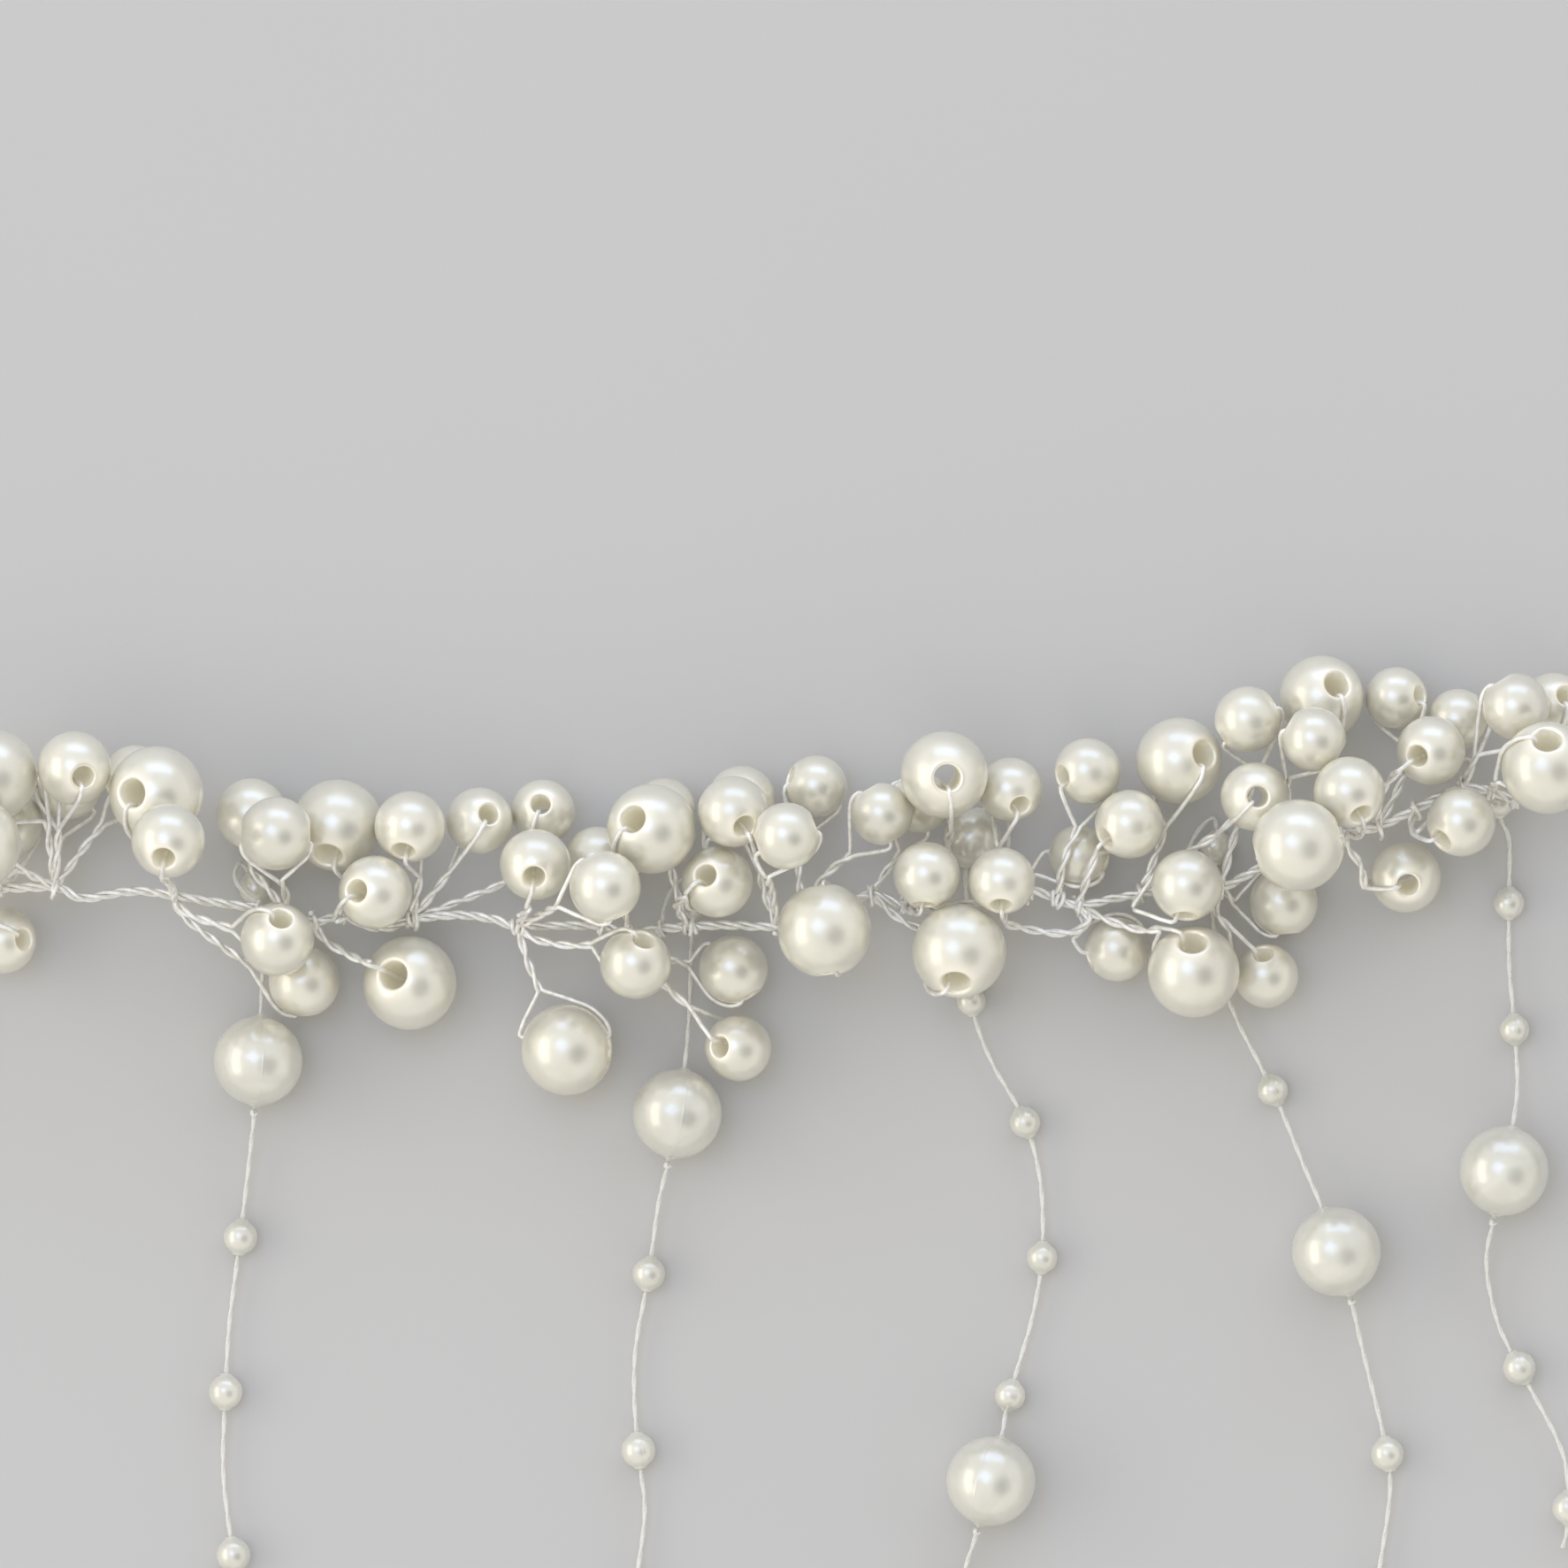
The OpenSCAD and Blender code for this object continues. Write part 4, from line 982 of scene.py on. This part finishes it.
class HAIRVINE_OT_pearls(bpy.types.Operator):
    """Sets a drilled pearl on every stem, the small ones by spray and each large one by itself"""
    bl_idname = "hair_vine.pearls"
    bl_label = "Pearls"

    def execute(self, context):
        lacquer, core = finish("Ivory pearl lacquer"), finish("Bare bead plastic")
        pearl = drilled_pearl(context.scene.hair_vine_sizes, (lacquer, core))
        values = {"Bead": pearl, "Finish": lacquer, "Bore finish": core}
        tree = tree_named("Beads on points", bead_tree)
        large = []
        for i, spray in enumerate(SPRAYS, 1):
            small = []
            for row in spray:
                (large if row[1] >= LARGE_FROM else small).append((row[0], row[1] / 2 * MM, pearl_turn(row)))
            group = grow(f"spray_{i}_pearls", point_mesh("Pearl places", small), tree, values)
            stand_for(group, "ivory_pearl", f"spray_pearls_{i}")
        for i, row in enumerate(large, 1):
            single = grow(f"big_pearl_{i}", point_mesh("Pearl place", [row]), tree, values)
            stand_for(single, "ivory_pearl", f"large_pearl_{i}")
        bpy.data.objects.remove(pearl)
        return {"FINISHED"}


class HAIRVINE_OT_threads(bpy.types.Operator):
    """Ties each strand's thread round the main wire and runs it from bead to bead"""
    bl_idname = "hair_vine.threads"
    bl_label = "Strand threads"

    def execute(self, context):
        sizes = context.scene.hair_vine_sizes
        values = {
            "Strands": 2, "Strand radius": sizes.ply_radius, "Strand offset": 0.4 * sizes.ply_radius,
            "Lay length": sizes.thread_lay, "Step": 0.15 * MM, "Sides": 6, "Crinkle": 0.3 * sizes.crinkle,
            "Crinkle scale": 700.0, "Finish": finish("Cotton thread"),
        }
        for n, (strand, tie) in enumerate(zip(STRANDS, TIES), 1):
            route = coil_round(tie, turns=1.6, pitch=0.4, radius=0.68, phase=0)[:-1]
            knots = []
            for i, (place, size) in enumerate(strand):
                here = Vector(place)
                if not size:
                    route.append(here)
                    continue
                reach = (size / 2 + PAST_BEAD) * level_step(strand, i).normalized()
                route += [here - reach, here + reach]
                if size >= LARGE_FROM:
                    knots.append(knot_at(here + reach, Vector(strand[i + 1][0]) - here - reach))
            thread = grow(
                f"strand_{n}_thread", route_mesh("Thread route", [cut_corners(route, rounds=3)] + knots),
                tree_named("Wire along a route", wire_tree), values)
            stand_for(thread, "white_thread", f"strand_thread_{n}")
        return {"FINISHED"}


class HAIRVINE_OT_strand_beads(bpy.types.Operator):
    """Strings the small beads and the one drop of each strand"""
    bl_idname = "hair_vine.strand_beads"
    bl_label = "Strand beads"

    def execute(self, context):
        sizes = context.scene.hair_vine_sizes
        milk = finish("Milky bead plastic")
        kinds = {size: nibbed_bead(f"Bead of {size} mm", size, sizes, (milk,)) for size in BEAD_KINDS}
        tree = tree_named("Beads on points", bead_tree)
        for n, strand in enumerate(STRANDS, 1):
            parts = {}
            for i, (place, size) in enumerate(strand):
                if not size:
                    continue
                step = level_step(strand, i)
                turn = Euler((0, math.pi / 2, math.atan2(step.y, step.x))).to_matrix()
                turn = turn @ Matrix.Rotation(0.6 * i, 3, "Z")
                kind = min(kinds, key=lambda k: abs(k - size))
                parts.setdefault(kind, []).append((place, size / kind, turn.to_euler()))
            for kind, rows in parts.items():
                drop = kind >= LARGE_FROM
                node = f"strand_pearl_{n}" if drop else f"strand_beads_{n}"
                label = f"strand_{n}_drop" if drop else f"strand_{n}_beads_{round(kind)}mm"
                values = {"Bead": kinds[kind], "Finish": milk, "Bore finish": milk}
                stand_for(grow(label, point_mesh("Bead places", rows), tree, values), "white_bead", node)
        for bead in kinds.values():
            bpy.data.objects.remove(bead)
        return {"FINISHED"}


class HAIRVINE_OT_combs(bpy.types.Operator):
    """Gives the two side combs their drawn steel"""
    bl_idname = "hair_vine.combs"
    bl_label = "Combs"

    def execute(self, context):
        for name in ("comb_left", "comb_right"):
            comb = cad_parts[name]
            comb.data.materials.clear()
            comb.data.materials.append(finish("Drawn comb steel"))
        return {"FINISHED"}


class HAIRVINE_OT_stage(bpy.types.Operator):
    """Lays the pale floor, sets up soft light and puts the camera straight above the vine"""
    bl_idname = "hair_vine.stage"
    bl_label = "Studio"

    def execute(self, context):
        scene = context.scene
        shape = bmesh.new()
        bmesh.ops.create_grid(shape, x_segments=8, y_segments=8, size=FLOOR_REACH)
        mesh = bpy.data.meshes.new("Studio floor")
        shape.to_mesh(mesh)
        shape.free()
        mesh.materials.append(finish("Pale studio floor"))
        floor = bpy.data.objects.new("Studio floor", mesh)
        scene.collection.objects.link(floor)

        for name, way, distance, width, height, watts, code in SOFTBOXES:
            light = bpy.data.lights.new(name, "AREA")
            light.shape = "RECTANGLE"
            light.size, light.size_y = width, height
            light.energy = watts
            light.color = srgb(code)
            box = bpy.data.objects.new(name, light)
            way = Vector(way).normalized()
            box.location = way * distance
            box.rotation_euler = (-way).to_track_quat("-Z", "Y").to_euler()
            box.visible_camera = False
            scene.collection.objects.link(box)
        world = bpy.data.worlds.new("Soft room")
        world.use_nodes = True
        room, tree = world.node_tree.nodes["Background"], world.node_tree
        way = add_node(tree, "ShaderNodeTexCoord").outputs["Generated"]
        toward = add_node(
            tree, "ShaderNodeVectorMath", {"operation": "DOT_PRODUCT"},
            {0: way, 1: Vector(SHADY_WAY).normalized()})
        shade = mottled(
            tree, toward.outputs["Value"], *SHADY_COSINES, srgb(ROOM_COLOUR), srgb(SHADY_COLOUR))
        feed(tree, room, Color=shade, Strength=1.0)
        scene.world = world
        scene.view_settings.view_transform = "Standard"

        lens = bpy.data.cameras.new("Camera above")
        lens.sensor_width = SENSOR
        lens.lens = SENSOR * CAMERA_DISTANCE / VIEW_WIDTH
        lens.clip_start, lens.clip_end = 0.1, 50
        camera = bpy.data.objects.new("Camera above", lens)
        camera.location = (Vector((0, 0, VIEW_LEVEL + CAMERA_DISTANCE)) - MIDDLE) * MM
        scene.collection.objects.link(camera)
        scene.camera = camera
        return {"FINISHED"}


OPERATORS = (
    HAIRVINE_OT_main_wire, HAIRVINE_OT_spray_wires, HAIRVINE_OT_pearls, HAIRVINE_OT_threads,
    HAIRVINE_OT_strand_beads, HAIRVINE_OT_combs, HAIRVINE_OT_stage,
)


class HAIRVINE_PT_panel(bpy.types.Panel):
    """Pieces of the hair vine, with their sizes and colours"""
    bl_idname = "HAIRVINE_PT_panel"
    bl_label = "Hair vine"
    bl_space_type = "VIEW_3D"
    bl_region_type = "UI"
    bl_category = "Hair vine"

    def draw(self, context):
        for kind in OPERATORS:
            self.layout.operator(kind.bl_idname)
        for group in (context.scene.hair_vine_sizes, context.scene.hair_vine_colours):
            box = self.layout.box()
            for name in group.bl_rna.properties.keys():
                if name not in ("rna_type", "name"):
                    box.prop(group, name)


CLASSES = (HairVineSizes, HairVineColours, *OPERATORS, HAIRVINE_PT_panel)


def register():
    """Registers the classes and gives the scene its sizes and colours."""
    for kind in CLASSES:
        bpy.utils.register_class(kind)
    bpy.types.Scene.hair_vine_sizes = bpy.props.PointerProperty(type=HairVineSizes)
    bpy.types.Scene.hair_vine_colours = bpy.props.PointerProperty(type=HairVineColours)


def unregister():
    """Takes the sizes, colours and classes away again."""
    del bpy.types.Scene.hair_vine_colours
    del bpy.types.Scene.hair_vine_sizes
    for kind in reversed(CLASSES):
        bpy.utils.unregister_class(kind)


def main():
    register()
    bpy.ops.hair_vine.stage()
    bpy.ops.hair_vine.main_wire()
    bpy.ops.hair_vine.spray_wires()
    bpy.ops.hair_vine.pearls()
    bpy.ops.hair_vine.threads()
    bpy.ops.hair_vine.strand_beads()
    bpy.ops.hair_vine.combs()


if __name__ == "__main__":
    main()
